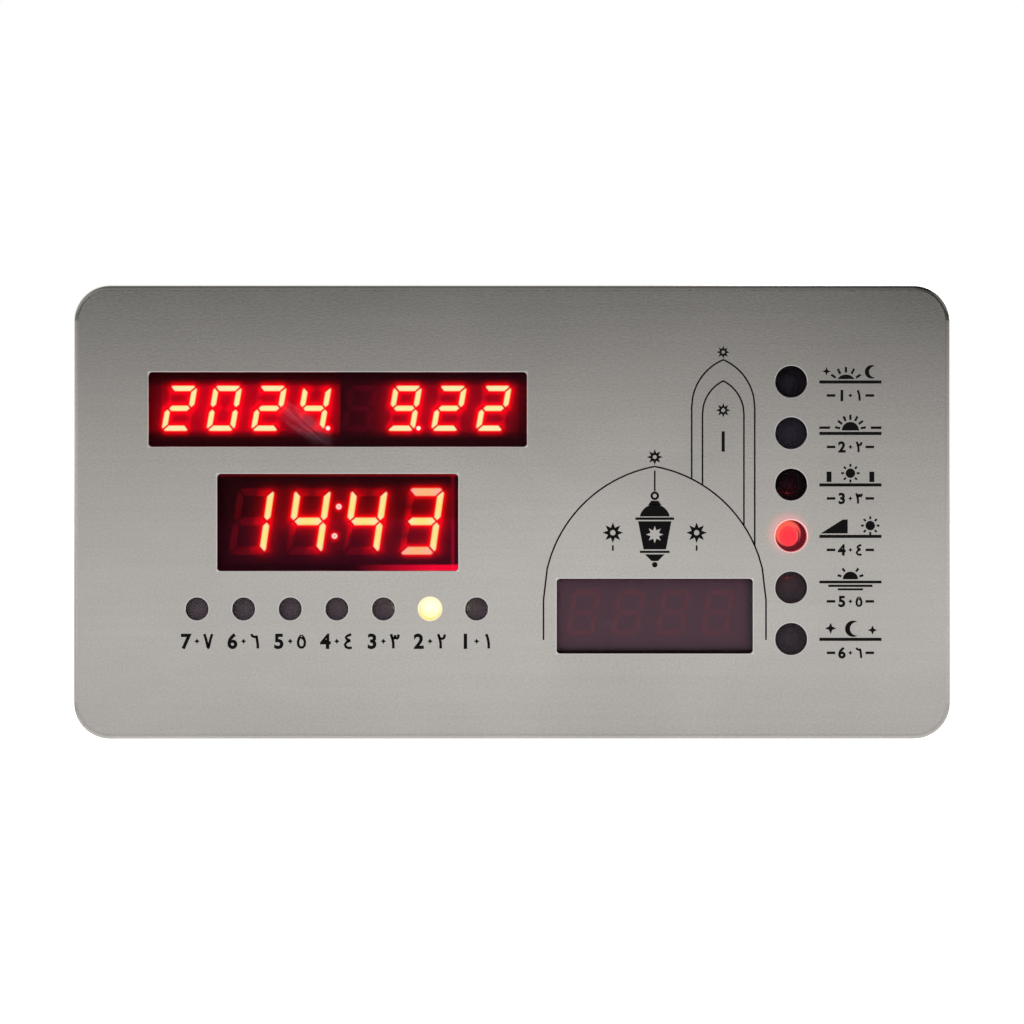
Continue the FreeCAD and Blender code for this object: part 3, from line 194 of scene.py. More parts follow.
def dress(material, *names):
    """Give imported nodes, by name, one finish."""
    for name in names:
        node[name].data.materials.clear()
        node[name].data.materials.append(material)


def middle_of(name):
    low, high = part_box(name)
    return (low + high) / 2


def window_gap(across, up, window):
    """How far a point of the face lies outside a window."""
    middle_x, middle_z, width, height = window
    return ((across - middle_x).size() - width / 2).most((up - middle_z).size() - height / 2)


def hole_gap(across, up, row):
    """How far a point of the face lies outside the nearest hole of a straight row."""
    first, last, count, radius = row
    start, end = middle_of(first), middle_of(last)
    upright = abs(end.z - start.z) > abs(end.x - start.x)
    along, aside = (up, across) if upright else (across, up)
    begins, ends, middle = (start.z, end.z, start.x) if upright else (start.x, end.x, start.z)
    pitch = (ends - begins) / (count - 1)
    run = along - (begins + ends) / 2
    shift = 0.0 if count % 2 else pitch / 2
    nearest = run.math("WRAP", run + shift, pitch / 2, -pitch / 2)
    offset = aside - middle
    gap = (nearest * nearest + offset * offset).root() - radius
    return gap + (run.size() - pitch * count / 2).most(0.0)


brushed_steel, steel = new_finish("brushed_steel")
hairlines = steel.noise((800, 800, 2600), detail=2)
bands = steel.noise((9, 9, 620), detail=3)
grain = steel.noise((1900, 1900, 2300), detail=1)
clouds = steel.noise((13, 13, 19), detail=4, warp=0.6).eased(0.34, 0.66)
smears = steel.noise((40, 40, 95), detail=5, warp=1.5)
steel_shade = 1.0 + (hairlines - 0.5) * 0.14 + (bands - 0.5) * 0.07 + (grain - 0.5) * 0.22
steel_colour = steel.scaled(steel.mixed(clouds, STEEL_DARK, STEEL_LIGHT), steel_shade)
across, depth, up = (steel.along(axis) for axis in "XYZ")
gap = window_gap(across, up, WINDOWS[0])
for window in WINDOWS[1:]:
    gap = gap.least(window_gap(across, up, window))
for row in HOLE_ROWS:
    gap = gap.least(hole_gap(across, up, row))
# a painted highlight along the rim of each cut, and painted shade on the walls inside the cuts
near_cut = 1.0 - gap.eased(CUT_RIM * 0.5, CUT_RIM)
cut_wall_shade = depth.eased(*WALL_DEPTH) * (1.0 - gap.eased(*WALL_GAP))
steel_colour = steel.mixed(near_cut * 0.9, steel_colour, CUT_PAINTED_HIGHLIGHT)
steel_colour = steel.mixed(cut_wall_shade, steel_colour, CUT_WALL_PAINTED_SHADE)


def close_to(middle, reach):
    """1 near a middle, as the face is looked at, fading to 0 between two distances."""
    return 1.0 - steel.distance(middle, (1, 0, 1)).eased(*reach)


# painted glow: emission on the steel round the holes of the lit lamps and beside the hour's lamp
hour_lamp = middle_of(LIT_HOUR)
by_hour = close_to(hour_lamp, HOUR_RIM_REACH)
by_day = close_to(middle_of(LIT_DAY), DAY_RIM_REACH)
hour_glow_spot = close_to((hour_lamp.x + HOUR_GLOW_SHIFT[0], 0, hour_lamp.z + HOUR_GLOW_SHIFT[1]), HOUR_GLOW_REACH)
rim_light = steel.mixed(by_day, steel.scaled(HOUR_RIM_GLOW, by_hour), steel.scaled(DAY_RIM_GLOW, by_day))
cut_light = steel.scaled(rim_light, near_cut)
hour_glow_light = steel.scaled(HOUR_PAINTED_GLOW, hour_glow_spot * hour_glow_spot * hour_glow_spot)
steel.surface(
    Base_Color=steel_colour, Metallic=1.0,
    Roughness=0.205 + (hairlines - 0.5) * 0.04 + (smears - 0.5) * 0.03 + clouds * 0.01,
    Normal=steel.relief(hairlines * 0.6 + grain * 0.4, 0.000005),
    Emission_Color=steel.add("VectorMath", {"operation": "ADD"},
                             {"Vector": cut_light, "Vector_001": hour_glow_light}),
    Emission_Strength=1.0)
dress(brushed_steel, "front_plate")

# ---------------------------------------------------------------- printing on the face
# Black enamel ink, silk-screened on the steel and baked: numbers and small signs of the hours
# beside the lamps, and arches with a lantern, drawn in thin lines, over the azan display.
INK_BLACK = (0.0030, 0.0027, 0.0027)
INK_WORN = (0.006, 0.005, 0.005)
# the prints are drawn in millimetres
INK_DEPTH = 0.02
LINE_WIDTH = 0.36
DAYS_LEFT_TO_RIGHT = (7, 6, 5, 4, 3, 2, 1)
DAY_NUMBER_DROP = 7.2
# how far each numeral stands from the middle; height and thickening of the western one; height
# and line width of the eastern one; radius of the star between them
DAY_NUMBER_SIZES = (2.5, 3.1, 0.16, 3.2, 0.58, 0.62)
DIGIT_SHARE = 0.69
DISC_CORNERS = 48
# middle lines of the eastern numerals, in a box that is 1 high and reaches 0.3 to each side
EASTERN_STROKES = {
    1: [[(-0.12, 1.0), (-0.02, 0.75), (0.05, 0.4), (0.06, 0.0)]],
    2: [[(-0.22, 1.0), (-0.12, 0.72), (-0.05, 0.4), (-0.04, 0.0)],
        [(-0.17, 0.83), (-0.06, 0.69), (0.08, 0.67), (0.19, 0.74), (0.25, 0.97)]],
    3: [[(-0.26, 1.0), (-0.17, 0.72), (-0.10, 0.4), (-0.09, 0.0)],
        [(-0.21, 0.80), (-0.14, 0.70), (-0.05, 0.69), (0.01, 0.76), (0.04, 0.93)],
        [(0.02, 0.84), (0.08, 0.71), (0.17, 0.69), (0.24, 0.77), (0.27, 0.97)]],
    4: [[(0.22, 0.98), (-0.04, 0.88), (-0.16, 0.76), (-0.08, 0.64), (0.14, 0.54)],
        [(0.16, 0.55), (-0.10, 0.44), (-0.22, 0.26), (-0.14, 0.09), (0.04, 0.03), (0.26, 0.05)]],
    5: [[(0.0, 0.92), (-0.15, 0.74), (-0.24, 0.46), (-0.21, 0.20), (-0.08, 0.07), (0.08, 0.07),
         (0.21, 0.20), (0.24, 0.46), (0.15, 0.74), (0.0, 0.92)]],
    6: [[(-0.24, 1.0), (-0.18, 0.86), (-0.04, 0.80), (0.20, 0.82)],
        [(0.12, 0.82), (0.16, 0.55), (0.20, 0.28), (0.21, 0.0)]],
    7: [[(-0.27, 1.0), (-0.15, 0.62), (-0.03, 0.08), (0.0, 0.02), (0.03, 0.08), (0.15, 0.62), (0.27, 1.0)]],
}

screen_ink, ink = new_finish("screen_ink")
ink_grain = ink.noise(900, detail=3)
ink_patches = ink.noise(120, detail=2)
ink.surface(
    Base_Color=ink.mixed(ink_patches, INK_BLACK, INK_WORN),
    Roughness=0.60 + (ink_patches - 0.5) * 0.15, Specular_IOR_Level=0.15,
    Normal=ink.relief(ink_grain, 0.000004))


def arc(centre, radius, start, end, steps=24):
    """Points on an arc, from one angle to another, in degrees."""
    angles = [math.radians(start + (end - start) * step / steps) for step in range(steps + 1)]
    return [(centre[0] + radius * math.cos(a), centre[1] + radius * math.sin(a)) for a in angles]


def disc(centre, radius):
    return arc(centre, radius, 0, 360 - 360 / DISC_CORNERS, DISC_CORNERS - 1)


def bar(left, right, low, high):
    return [(left, low), (right, low), (right, high), (left, high)]


def line(points, width=LINE_WIDTH):
    """The outline of a line of even width that runs through the points."""
    sides = ([], [])
    for index, point in enumerate(points):
        before = points[max(index - 1, 0)]
        after = points[min(index + 1, len(points) - 1)]
        along = (after[0] - before[0], after[1] - before[1])
        length = math.hypot(*along)
        across = (-along[1] / length * width / 2, along[0] / length * width / 2)
        sides[0].append((point[0] + across[0], point[1] + across[1]))
        sides[1].append((point[0] - across[0], point[1] - across[1]))
    return sides[0] + sides[1][::-1]


def star(centre, radius, points=8, waist=0.52):
    corners = []
    for index in range(2 * points):
        reach = radius if index % 2 == 0 else radius * waist
        angle = math.pi / 2 + math.pi * index / points
        corners.append((centre[0] + reach * math.cos(angle), centre[1] + reach * math.sin(angle)))
    return corners


def filled(outlines):
    """A flat shape from closed outlines, in millimetres; an outline inside another is a hole."""
    curve = bpy.data.curves.new("outline", "CURVE")
    curve.dimensions = "2D"
    curve.fill_mode = "BOTH"
    curve.extrude = INK_DEPTH / 2
    for outline in outlines:
        spline = curve.splines.new("POLY")
        spline.points.add(len(outline) - 1)
        for point, (x, z) in zip(spline.points, outline):
            point.co = (x, z, 0, 1)
        spline.use_cyclic_u = True
    return curve


def numeral(text, x, z, height, weight):
    """A plain number, its middle at x and z, in millimetres, thickened by weight."""
    curve = bpy.data.curves.new("numeral", "FONT")
    curve.body = text
    curve.size = height / DIGIT_SHARE
    curve.offset = weight
    curve.extrude = INK_DEPTH / 2
    curve.resolution_u = 4
    curve.align_x = "CENTER"
    return curve, (x, z - height / 2)


def eastern_numeral(number, x, z, height, width):
    """A plain eastern numeral, its middle at x and z, in millimetres, drawn in lines of one width."""
    strokes = [[(x + height * aside, z + height * (up - 0.5)) for aside, up in stroke]
               for stroke in EASTERN_STROKES[number]]
    return [filled([line(stroke, width)]) for stroke in strokes]


def number_pair(number, x, z, sizes):
    """A number in both kinds of numeral, with a small star between them."""
    spread, height, weight, eastern_height, width, radius = sizes
    return [numeral(str(number), x - spread, z, height, weight), filled([star((x, z), radius, 4, 0.5)]),
            *eastern_numeral(number, x + spread, z, eastern_height, width)]


def print_on_face(name, shapes):
    """One print from curves, or from curves with a place, all in millimetres on the face."""
    vertices, faces = [], []
    for shape in shapes:
        curve, (x, z) = shape if isinstance(shape, tuple) else (shape, (0, 0))
        holder = bpy.data.objects.new("shape", curve)
        mesh = bpy.data.meshes.new_from_object(holder)
        first = len(vertices)
        for vertex in mesh.vertices:
            across, up, out = vertex.co
            vertices.append(((across + x) / 1000, FACE - (out + INK_DEPTH / 2) / 1000, (up + z) / 1000))
        faces += [[first + corner for corner in face.vertices] for face in mesh.polygons]
        bpy.data.objects.remove(holder)
        bpy.data.meshes.remove(mesh)
        bpy.data.curves.remove(curve)
    new_piece(name, vertices, faces, screen_ink)


def stand(name, data):
    """An object of the scene, from a mesh, a lamp, a camera or nothing."""
    item = bpy.data.objects.new(name, data)
    bpy.context.scene.collection.objects.link(item)
    return item


def made(name, vertices, faces, material):
    """An object from flat faces, in metres."""
    mesh = bpy.data.meshes.new(name)
    mesh.from_pydata(vertices, [], faces)
    mesh.materials.append(material)
    mesh.validate()
    return stand(name, mesh)


def new_piece(name, vertices, faces, material):
    """An object that moves with the body of the clock."""
    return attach(made(name, vertices, faces, material), "clock")


# the days, numbered from the right in both kinds of numeral
day_numbers = []
for lamp, day in enumerate(DAYS_LEFT_TO_RIGHT, start=1):
    place = middle_of(f"day_lamp_{lamp}") * 1000
    day_numbers += number_pair(day, place.x, place.z - DAY_NUMBER_DROP, DAY_NUMBER_SIZES)
print_on_face("day_numbers", day_numbers)


# the six hours: a sign with the height of the sun, and a number under it
def rays(centre, inner, outer, angles, width=0.50):
    strokes = []
    for angle in angles:
        way = (math.cos(math.radians(angle)), math.sin(math.radians(angle)))
        ends = [(centre[0] + way[0] * reach, centre[1] + way[1] * reach) for reach in (inner, outer)]
        strokes.append(line(ends, width))
    return strokes


def cap(centre, radius, level):
    """The part of a disc above a level."""
    start = math.degrees(math.asin((level - centre[1]) / radius))
    return arc(centre, radius, start, 180 - start)


def crescent(centre, radius, bite, shift):
    """A disc with a smaller disc bitten out of its right side."""
    reach = (radius ** 2 - bite ** 2 + shift ** 2) / (2 * shift)
    outer = math.degrees(math.acos(reach / radius))
    inner = math.degrees(math.acos((reach - shift) / bite))
    inside = (centre[0] + shift, centre[1])
    return arc(centre, radius, outer, 360 - outer, 32) + arc(inside, bite, -inner, -360 + inner, 32)


def whole_sun(x, z):
    return [disc((x, z), 1.05), *rays((x, z), 1.4, 2.05, range(0, 360, 45), 0.44)]


def each_side(inner, outer, low, high):
    return [bar(-outer, -inner, low, high), bar(inner, outer, low, high)]


HOUR_SIGN_X = 13.15
HOUR_SIGN_RISE = 1.55
HOUR_NUMBER_DROP = 3.1
HOUR_NUMBER_SIZES = (1.9, 2.25, 0.14, 2.3, 0.48, 0.5)
DASH_ASIDE = 4.3
DASH_HALF = (0.95, 0.28)
SIGN_HALF = 6.9
GROUND = bar(-SIGN_HALF, SIGN_HALF, -2.0, -1.3)
HOUR_SIGNS = (
    # first light: a sliver of sun between a star and a waning moon
    [GROUND, cap((-1.0, -2.3), 2.3, -1.0), crescent((4.7, 0.6), 1.5, 1.25, 0.7),
     star((-5.3, 0.7), 0.95, 4, 0.4), *rays((-1.0, -2.3), 2.75, 4.0, (35, 63, 90, 117, 145))],
    # sunrise: half a sun on the ground
    [GROUND, cap((0, -1.0), 1.9, -1.0), *rays((0, -1.0), 2.35, 3.5, (12, 38, 64, 90, 116, 142, 168)),
     *each_side(4.5, SIGN_HALF, -0.65, -0.1)],
    # noon: the whole sun high between two posts
    [GROUND, *whole_sun(0, 0.95), *each_side(4.2, 5.3, -1.0, 1.3)],
    # afternoon: the sun aside, and a post that runs out into its long shadow
    [GROUND, *whole_sun(4.4, 0.75), [(-6.6, -1.0), (-0.6, -1.0), (-0.6, 2.1), (-1.7, 2.1)]],
    # sunset: half a sun with its light on the water
    [bar(-SIGN_HALF, SIGN_HALF, -0.65, -0.05), cap((0, 0.25), 1.7, 0.25),
     *rays((0, 0.25), 2.1, 3.0, (18, 54, 126, 162)),
     bar(-4.9, 4.9, -1.45, -0.95), bar(-2.8, 2.8, -2.2, -1.75)],
    # night: the moon and two stars
    [GROUND, crescent((0.6, 0.7), 1.8, 1.5, 0.8), star((-4.4, 0.8), 1.25, 4, 0.42),
     star((4.9, 0.4), 1.05, 4, 0.42)],
)
for lamp, sign in enumerate(HOUR_SIGNS, start=1):
    place = middle_of(f"prayer_lamp_{lamp}") * 1000
    middle = place.x + HOUR_SIGN_X
    level = place.z - HOUR_NUMBER_DROP
    shapes = [(filled([outline]), (middle, place.z + HOUR_SIGN_RISE)) for outline in sign]
    shapes += number_pair(lamp, middle, level, HOUR_NUMBER_SIZES)
    for side in (-1, 1):
        dash = middle + side * DASH_ASIDE
        shapes.append(filled([bar(dash - DASH_HALF[0], dash + DASH_HALF[0],
                                  level - DASH_HALF[1], level + DASH_HALF[1])]))
    print_on_face(f"hour_sign_{lamp}", shapes)


# the arches, a star over the tip of each, and a lantern that hangs in the wide one
def arch_height(across, half_width, rise):
    """Height of a pointed arch over its springing line, at a distance from its middle."""
    radius = (half_width ** 2 + rise ** 2) / (2 * half_width)
    return math.sqrt(radius ** 2 - (abs(across) + radius - half_width) ** 2)


def pointed_arch(centre, springing, half_width, rise, left_foot, right_foot):
    steps = [half_width * (step / ARCH_STEPS - 1) for step in range(2 * ARCH_STEPS + 1)]
    curve = [(centre + step, springing + arch_height(step, half_width, rise)) for step in steps]
    return [(centre - half_width, left_foot)] + curve + [(centre + half_width, right_foot)]


# middle across, springing line, half width and rise of each arch
WIDE_ARCH = (middle_of("azan_display").x * 1000, -19.5, 24.7, 29.6)
SLIM_ARCH = (46.9, 23.2, 7.0, 10.6)
INNER_ARCH = (46.9, 21.7, 4.6, 7.4)
WIDE_FOOT = -28.4
ARCH_STEPS = 30
STAR_HEIGHT = 22.6
SLOT_HEIGHTS = (13.4, 17.9)


def wide_arch_at(x):
    return WIDE_ARCH[1] + arch_height(x - WIDE_ARCH[0], WIDE_ARCH[2], WIDE_ARCH[3]) + LINE_WIDTH / 2


def on_wide_arch(arch):
    """The outline of an arch whose feet stand on the wide one."""
    return [line(pointed_arch(*arch, *(wide_arch_at(arch[0] + side * arch[2]) for side in (-1, 1))))]


def pierced_star(x, z, radius, hole):
    return [star((x, z), radius), disc((x, z), hole)]


wide_tip = WIDE_ARCH[1] + WIDE_ARCH[3]
arches = [
    [line(pointed_arch(*WIDE_ARCH, WIDE_FOOT, WIDE_FOOT))], on_wide_arch(SLIM_ARCH), on_wide_arch(INNER_ARCH),
    pierced_star(WIDE_ARCH[0], wide_tip + 2.1, 1.75, 0.45),
    pierced_star(SLIM_ARCH[0], SLIM_ARCH[1] + SLIM_ARCH[3] + 1.7, 1.45, 0.38),
    pierced_star(SLIM_ARCH[0], STAR_HEIGHT, 1.6, 0.45),
    [bar(SLIM_ARCH[0] - 0.35, SLIM_ARCH[0] + 0.35, *SLOT_HEIGHTS)],
]
print_on_face("arches", [filled(outlines) for outlines in arches])


def taper(top_half, top, foot_half, foot):
    return [(-top_half, top), (top_half, top), (foot_half, foot), (-foot_half, foot)]


# thread, ring, neck, dome, rim, body with a star cut in it, base, foot and bead, about x = 0
lantern = [
    [line([(0, wide_tip - 0.9), (0, 4.6)])],
    [disc((0, 3.6), 0.95), disc((0, 3.6), 0.45)],
    [taper(0.8, 2.5, 1.5, 1.5)],
    [arc((0, -1.7), 3.4, 12, 168)],
    [bar(-4.3, 4.3, -1.75, -1.2)],
    [taper(3.7, -2.05, 2.5, -8.3), star((0, -5.0), 1.9)],
    [bar(-3.3, 3.3, -9.1, -8.6)],
    [taper(2.2, -9.4, 0.7, -10.9)],
    [disc((0, -11.7), 0.6)],
]
for star_x in (-9.3, 9.3):
    lantern += [pierced_star(star_x, -4.6, 2.3, 0.6), [bar(star_x - 0.2, star_x + 0.2, -8.6, -7.4)]]
print_on_face("lantern", [(filled(outlines), (WIDE_ARCH[0], 0)) for outlines in lantern])

# ---------------------------------------------------------------- weld studs, standoffs and screws
# Steel studs welded to the face, hexagonal pillars and cross-headed screws, all zinc plated:
# a cloudy grey metal with darker blotches where the plating is thin.
ZINC = (0.66, 0.66, 0.63)
ZINC_THIN = (0.46, 0.46, 0.47)
bright_zinc, zinc = new_finish("bright_zinc")
zinc_clouds = zinc.noise(700, detail=5, warp=1.0)
zinc_grain = zinc.noise(9000, detail=2)
zinc.surface(
    Base_Color=zinc.mixed(zinc_clouds.eased(0.35, 0.75), ZINC, ZINC_THIN),
    Metallic=1.0, Roughness=0.30 + (zinc_clouds - 0.5) * 0.25 + (zinc_grain - 0.5) * 0.08,
    Normal=zinc.relief(zinc_grain, 0.000004))
dress(bright_zinc, "weld_studs", "front_standoffs", "rear_standoffs", "case_screws", "speaker_screws")

# ---------------------------------------------------------------- smoked filter
# One sheet of cast acrylic behind all the openings, dyed smoke-purple and polished. A painted reflection
# makes its lower part and the hours' side paler, a cool painted sheen lies by the second hole, and a rougher
# smear whose pink tint is a painted reflection crosses it at the date.
SMOKE = (0.006, 0.001, 0.002)
PALE_REFLECTION = (0.148, 0.112, 0.132)
SMEAR_REFLECTION = (0.230, 0.105, 0.150)
COOL_PAINTED_SHEEN = (0.075, 0.075, 0.105)
SMOKE_COVER = 0.5
LIGHT_PASSED = (1 - SMOKE_COVER) ** 2
REFLECTION_SMEAR_MIDDLE = (-0.0459, 0.0192)
REFLECTION_SMEAR_SLANT = math.radians(-38)
REFLECTION_SMEAR_REACH = (0.0088, 0.0027)
# where the painted reflection begins, ends and thins out, where it ends on the hours' side of the sheet, and
# where that side begins
REFLECTION_FOOT = (-0.0314, -0.0300)
REFLECTION_TOP = (-0.0160, -0.0134)
REFLECTION_THINS = (0.0, 0.0080)
HOURS_REFLECTION_TOP = (-0.0130, -0.0070)
HOURS_EDGE = (0.0540, 0.0570)

smoked_acrylic, smoke = new_finish("smoked_acrylic")
dust = smoke.noise(1500, detail=2).eased(0.72, 0.80)
smear_blotches = smoke.noise(230, detail=4, warp=1.5)
haze = smoke.noise(60, detail=4, warp=2.0)
scratches = smoke.noise((12, 12, 2600), detail=1).eased(0.72, 0.76)
across, up = smoke.along("X"), smoke.along("Z")
# a rougher smear across the date, whose pink tint is a painted reflection
off_x, off_z = across - REFLECTION_SMEAR_MIDDLE[0], up - REFLECTION_SMEAR_MIDDLE[1]
smear_run = (off_x * math.cos(REFLECTION_SMEAR_SLANT) + off_z * math.sin(REFLECTION_SMEAR_SLANT)) * (1 / REFLECTION_SMEAR_REACH[0])
smear_side = (off_z * math.cos(REFLECTION_SMEAR_SLANT) - off_x * math.sin(REFLECTION_SMEAR_SLANT)) * (1 / REFLECTION_SMEAR_REACH[1])
smear_and_reflection = 1.0 - (smear_run * smear_run + smear_side * smear_side + (smear_blotches - 0.5) * 1.8).eased(0.05, 1.20)
strip = smoke.add("CombineXYZ", {}, {"X": smear_run * 1.3, "Y": smear_side * 4.5})
strips = smoke.add("TexNoise", {}, {"Vector": strip, "Scale": 1.0, "Detail": 4.0, "Distortion": 0.6})
smear_and_reflection = smear_and_reflection * (strips.eased(0.32, 0.68) * 0.75 + 0.12)
hours_side = across.eased(*HOURS_EDGE)
# painted reflection: paler over the lower part of the sheet and down the hours' side
pale_reflection_share = up.eased(*REFLECTION_FOOT) * (1.0 - up.eased(*REFLECTION_TOP)) * (1.0 - across.eased(*REFLECTION_THINS) * 0.38)
pale_reflection_share = pale_reflection_share * (1.0 - hours_side) + hours_side * (0.48 - up.eased(*HOURS_REFLECTION_TOP) * 0.43)
# a cool painted sheen round the second hour's hole, for a reflection there
over_second = up - middle_of("prayer_lamp_2").z
painted_sheen = (1.0 - over_second.size().eased(0.0020, 0.0085)) * 0.35 + over_second.eased(0.0030, 0.0085) * 0.10
painted_sheen = hours_side * painted_sheen
filter_colour = smoke.mixed(painted_sheen, smoke.mixed(pale_reflection_share, SMOKE, PALE_REFLECTION), COOL_PAINTED_SHEEN)
smoke.surface(
    Base_Color=smoke.mixed((smear_and_reflection + dust * 0.05).limited(), filter_colour, SMEAR_REFLECTION),
    Alpha=SMOKE_COVER + (haze - 0.5) * 0.015, IOR=1.49, Specular_IOR_Level=0.05,
    Roughness=0.045 + smear_and_reflection * 0.12 + scratches * 0.03 + haze * 0.02,
    Specular_Tint=(0.97, 0.83, 0.95),
    Normal=smoke.relief(haze * 0.6 + scratches * 0.4, 0.0000012))
dress(smoked_acrylic, "smoked_filter")

# ---------------------------------------------------------------- circuit board
# Glass-epoxy laminate under green solder mask. Copper tracks show through the mask as paler
# lines, and age has browned it in patches.
SOLDER_MASK = (0.022, 0.125, 0.050)
MASK_OVER_COPPER = (0.050, 0.235, 0.085)
MASK_BROWNED = (0.060, 0.105, 0.045)
green_board, board = new_finish("green_board")
tracks_across = board.noise((60, 60, 1500), detail=0).eased(0.56, 0.58)
tracks_upright = board.noise((1500, 60, 60), detail=0).eased(0.58, 0.60)
weave = board.noise((2600, 300, 2600), detail=1)
tracks = tracks_across.most(tracks_upright)
board_age = board.noise(55, detail=4)
board_colour = board.mixed(tracks, SOLDER_MASK, MASK_OVER_COPPER)
board.surface(
    Base_Color=board.mixed(board_age.eased(0.45, 0.80) * 0.35, board_colour, MASK_BROWNED),
    Roughness=0.34 + (board_age - 0.5) * 0.20 - tracks * 0.06,
    Normal=board.relief(tracks * 0.8 + weave * 0.2, 0.00002))
dress(green_board, "main_board")

# ---------------------------------------------------------------- digit modules
# Moulded cases with the strokes as slots in the face, filled with cloudy epoxy that stands a hair proud and
# spills a little over the slots' edges. A thin dark red film lies round them and glows with painted light
# spread from the lit strokes.
SMALL_DIGIT = dict(pitch=0.01005, height=0.0100, width=0.00625, stroke=0.00105, slant=10.0, dot=0.00115,
                   spill=0.00018, bar_spill=0.00018)
LARGE_DIGIT = dict(pitch=0.0127, height=0.0146, width=0.0082, stroke=0.00145, slant=8.3, dot=0.00145,
                   spill=0.00010, bar_spill=0.00026)
DIGIT_SHIFT = -0.0006
STROKE_GAP = 0.00014
WALL_WIDTH = 0.00018
DOT_GAP = 0.0003
COLON_SPREAD = 0.45
STROKE_PROUD = 0.00010
STROKE_SUNK = 0.0004
FILM_LIFT = 0.00002
FILM_THICK = 0.00005
FILM_CELL = 0.00025
FILM_MARGIN = (0.0031, 0.00264)
DOT_CORNERS = 12
SLANTED_WALL = 0.95
LEVEL_WALL = 0.85
LIT_STROKES = {" ": "", "0": "abcdef", "1": "bc", "2": "abged", "3": "abgcd", "4": "fgbc", "9": "abcdfg"}
STROKE_ENDS = {"a": ((-1, 1), (1, 1)), "b": ((1, 1), (1, 0)), "c": ((1, 0), (1, -1)),
               "d": ((-1, -1), (1, -1)), "e": ((-1, 0), (-1, -1)), "f": ((-1, 1), (-1, 0)),
               "g": ((-1, 0), (1, 0))}
# joints between strokes: where each lies, and the ways that the walls between strokes run
JOINTS = (((-1, 1), ((-1, 1), (1, -1))), ((1, 1), ((1, 1), (-1, -1))),
          ((-1, -1), ((-1, -1), (1, 1))), ((1, -1), ((1, -1), (-1, 1))),
          ((-1, 0), ((1, 1), (1, -1), (-1, 0))), ((1, 0), ((-1, 1), (-1, -1), (1, 0))))


def dyed(name, colour, worn, roughness, grain, depth):
    """A material coloured right through: its wear mottles the colour and lies in its texture."""
    material, finish = new_finish(name)
    mottle = finish.noise(160, detail=5, warp=0.8)
    texture = finish.noise(1 / grain, detail=3)
    scuffs = finish.noise((35, 900, 60), detail=2).eased(0.66, 0.74)
    wear = mottle.eased(0.35, 0.85) * 0.3 + texture.eased(0.40, 0.70) * 0.5 + scuffs * 0.2
    finish.surface(
        Base_Color=finish.mixed(wear.limited(), colour, worn),
        Roughness=roughness + (mottle - 0.5) * 0.16 + (texture - 0.5) * 0.10,
        Normal=finish.relief(texture, depth))
    return material


dress(dyed("case_grey", (0.055, 0.050, 0.052), worn=(0.085, 0.078, 0.080),
           roughness=0.55, grain=0.00025, depth=0.000012),
      "date_display_left", "date_display_right", "time_display", "azan_display")


def glowing(name, base, roughness, strength):
    """A cloudy resin or film that shines with the light stored at each of its points."""
    material, finish = new_finish(name)
    stored = finish.add("Attribute", {"attribute_name": "shine"}, {})
    cloud = finish.noise(1800, detail=3)
    finish.surface(
        Base_Color=finish.mixed(cloud, base, tuple(0.8 * part for part in base)),
        Roughness=roughness + (cloud - 0.5) * 0.12,
        Emission_Color=finish.scaled(stored, 0.96 + (cloud - 0.5) * 0.14), Emission_Strength=strength,
        Normal=finish.relief(cloud, 0.000003))
    return material


# the lit strokes are lamps; the film, and the strokes that are off, glow with painted light
stroke_epoxy = glowing("stroke_epoxy", (0.040, 0.004, 0.005), 0.35, 1.0 / LIGHT_PASSED)
painted_glow_film = glowing("painted_glow_film", (0.010, 0.001, 0.002), 0.45, 1.0 / LIGHT_PASSED)


class Module:
    """Four slanted digits in one case, and what they show."""

    def __init__(self, case, digit, text, points=(), colon=None, shift=0.0):
        self.low, self.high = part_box(case)
        self.face = self.low.y
        self.digit = digit
        self.shift = DIGIT_SHIFT + shift
        self.half_height = (digit["height"] - digit["stroke"]) / 2
        self.half_width = (digit["width"] - digit["stroke"]) / 2
        self.strokes = [(index, letter, letter in LIT_STROKES[text[index]])
                        for index in range(4) for letter in STROKE_ENDS]
        reach = digit["width"] / 2 + DOT_GAP + digit["dot"] / 2
        self.dots = [(self.spot(index, reach, -self.half_height), index in points) for index in range(4)]
        if colon is not None:
            level = COLON_SPREAD * digit["height"] / 2
            self.dots += [(self.spot(1.5, 0, side * level), colon) for side in (-1, 1)]

    def spot(self, index, x, z):
        """A place in an upright digit, carried to its place on the slanted face."""
        middle = (self.low + self.high) / 2
        shear = math.tan(math.radians(self.digit["slant"]))
        offset = (index - 1.5) * self.digit["pitch"]
        return middle.x + self.shift + offset + x + z * shear, middle.z + z

    def half(self, letter):
        """Half the width of a stroke as it shows, with the epoxy spilt over the edges of its slot."""
        return self.digit["stroke"] / 2 + self.digit["bar_spill" if letter in "adg" else "spill"]

    def ends(self, letter):
        """The two ends of a stroke's middle line in an upright digit."""
        return tuple(np.array((column * self.half_width, level * self.half_height))
                     for column, level in STROKE_ENDS[letter])

    def lit_lines(self):
        """Ends and half width of each lit stroke, a point being a stroke of no length."""
        lines = []
        for index, letter, lit in self.strokes:
            if lit:
                first, last = (self.spot(index, *end) for end in self.ends(letter))
                lines.append((first, last, self.half(letter)))
        return lines + [(spot, spot, self.digit["dot"] / 2) for spot, lit in self.dots if lit]


def distances(xs, zs, stroke):
    """How far each of many points lies outside a stroke."""
    (x0, z0), (x1, z1), half = stroke
    dx, dz = x1 - x0, z1 - z0
    length = math.hypot(dx, dz)
    trim = min(half / length, 0.5) if length > 0 else 0
    along = ((xs - x0) * dx + (zs - z0) * dz) / max(length ** 2, 1e-12)
    along = np.clip(along, trim, 1 - trim)
    return np.maximum(np.hypot(xs - x0 - along * dx, zs - z0 - along * dz) - half, 0)


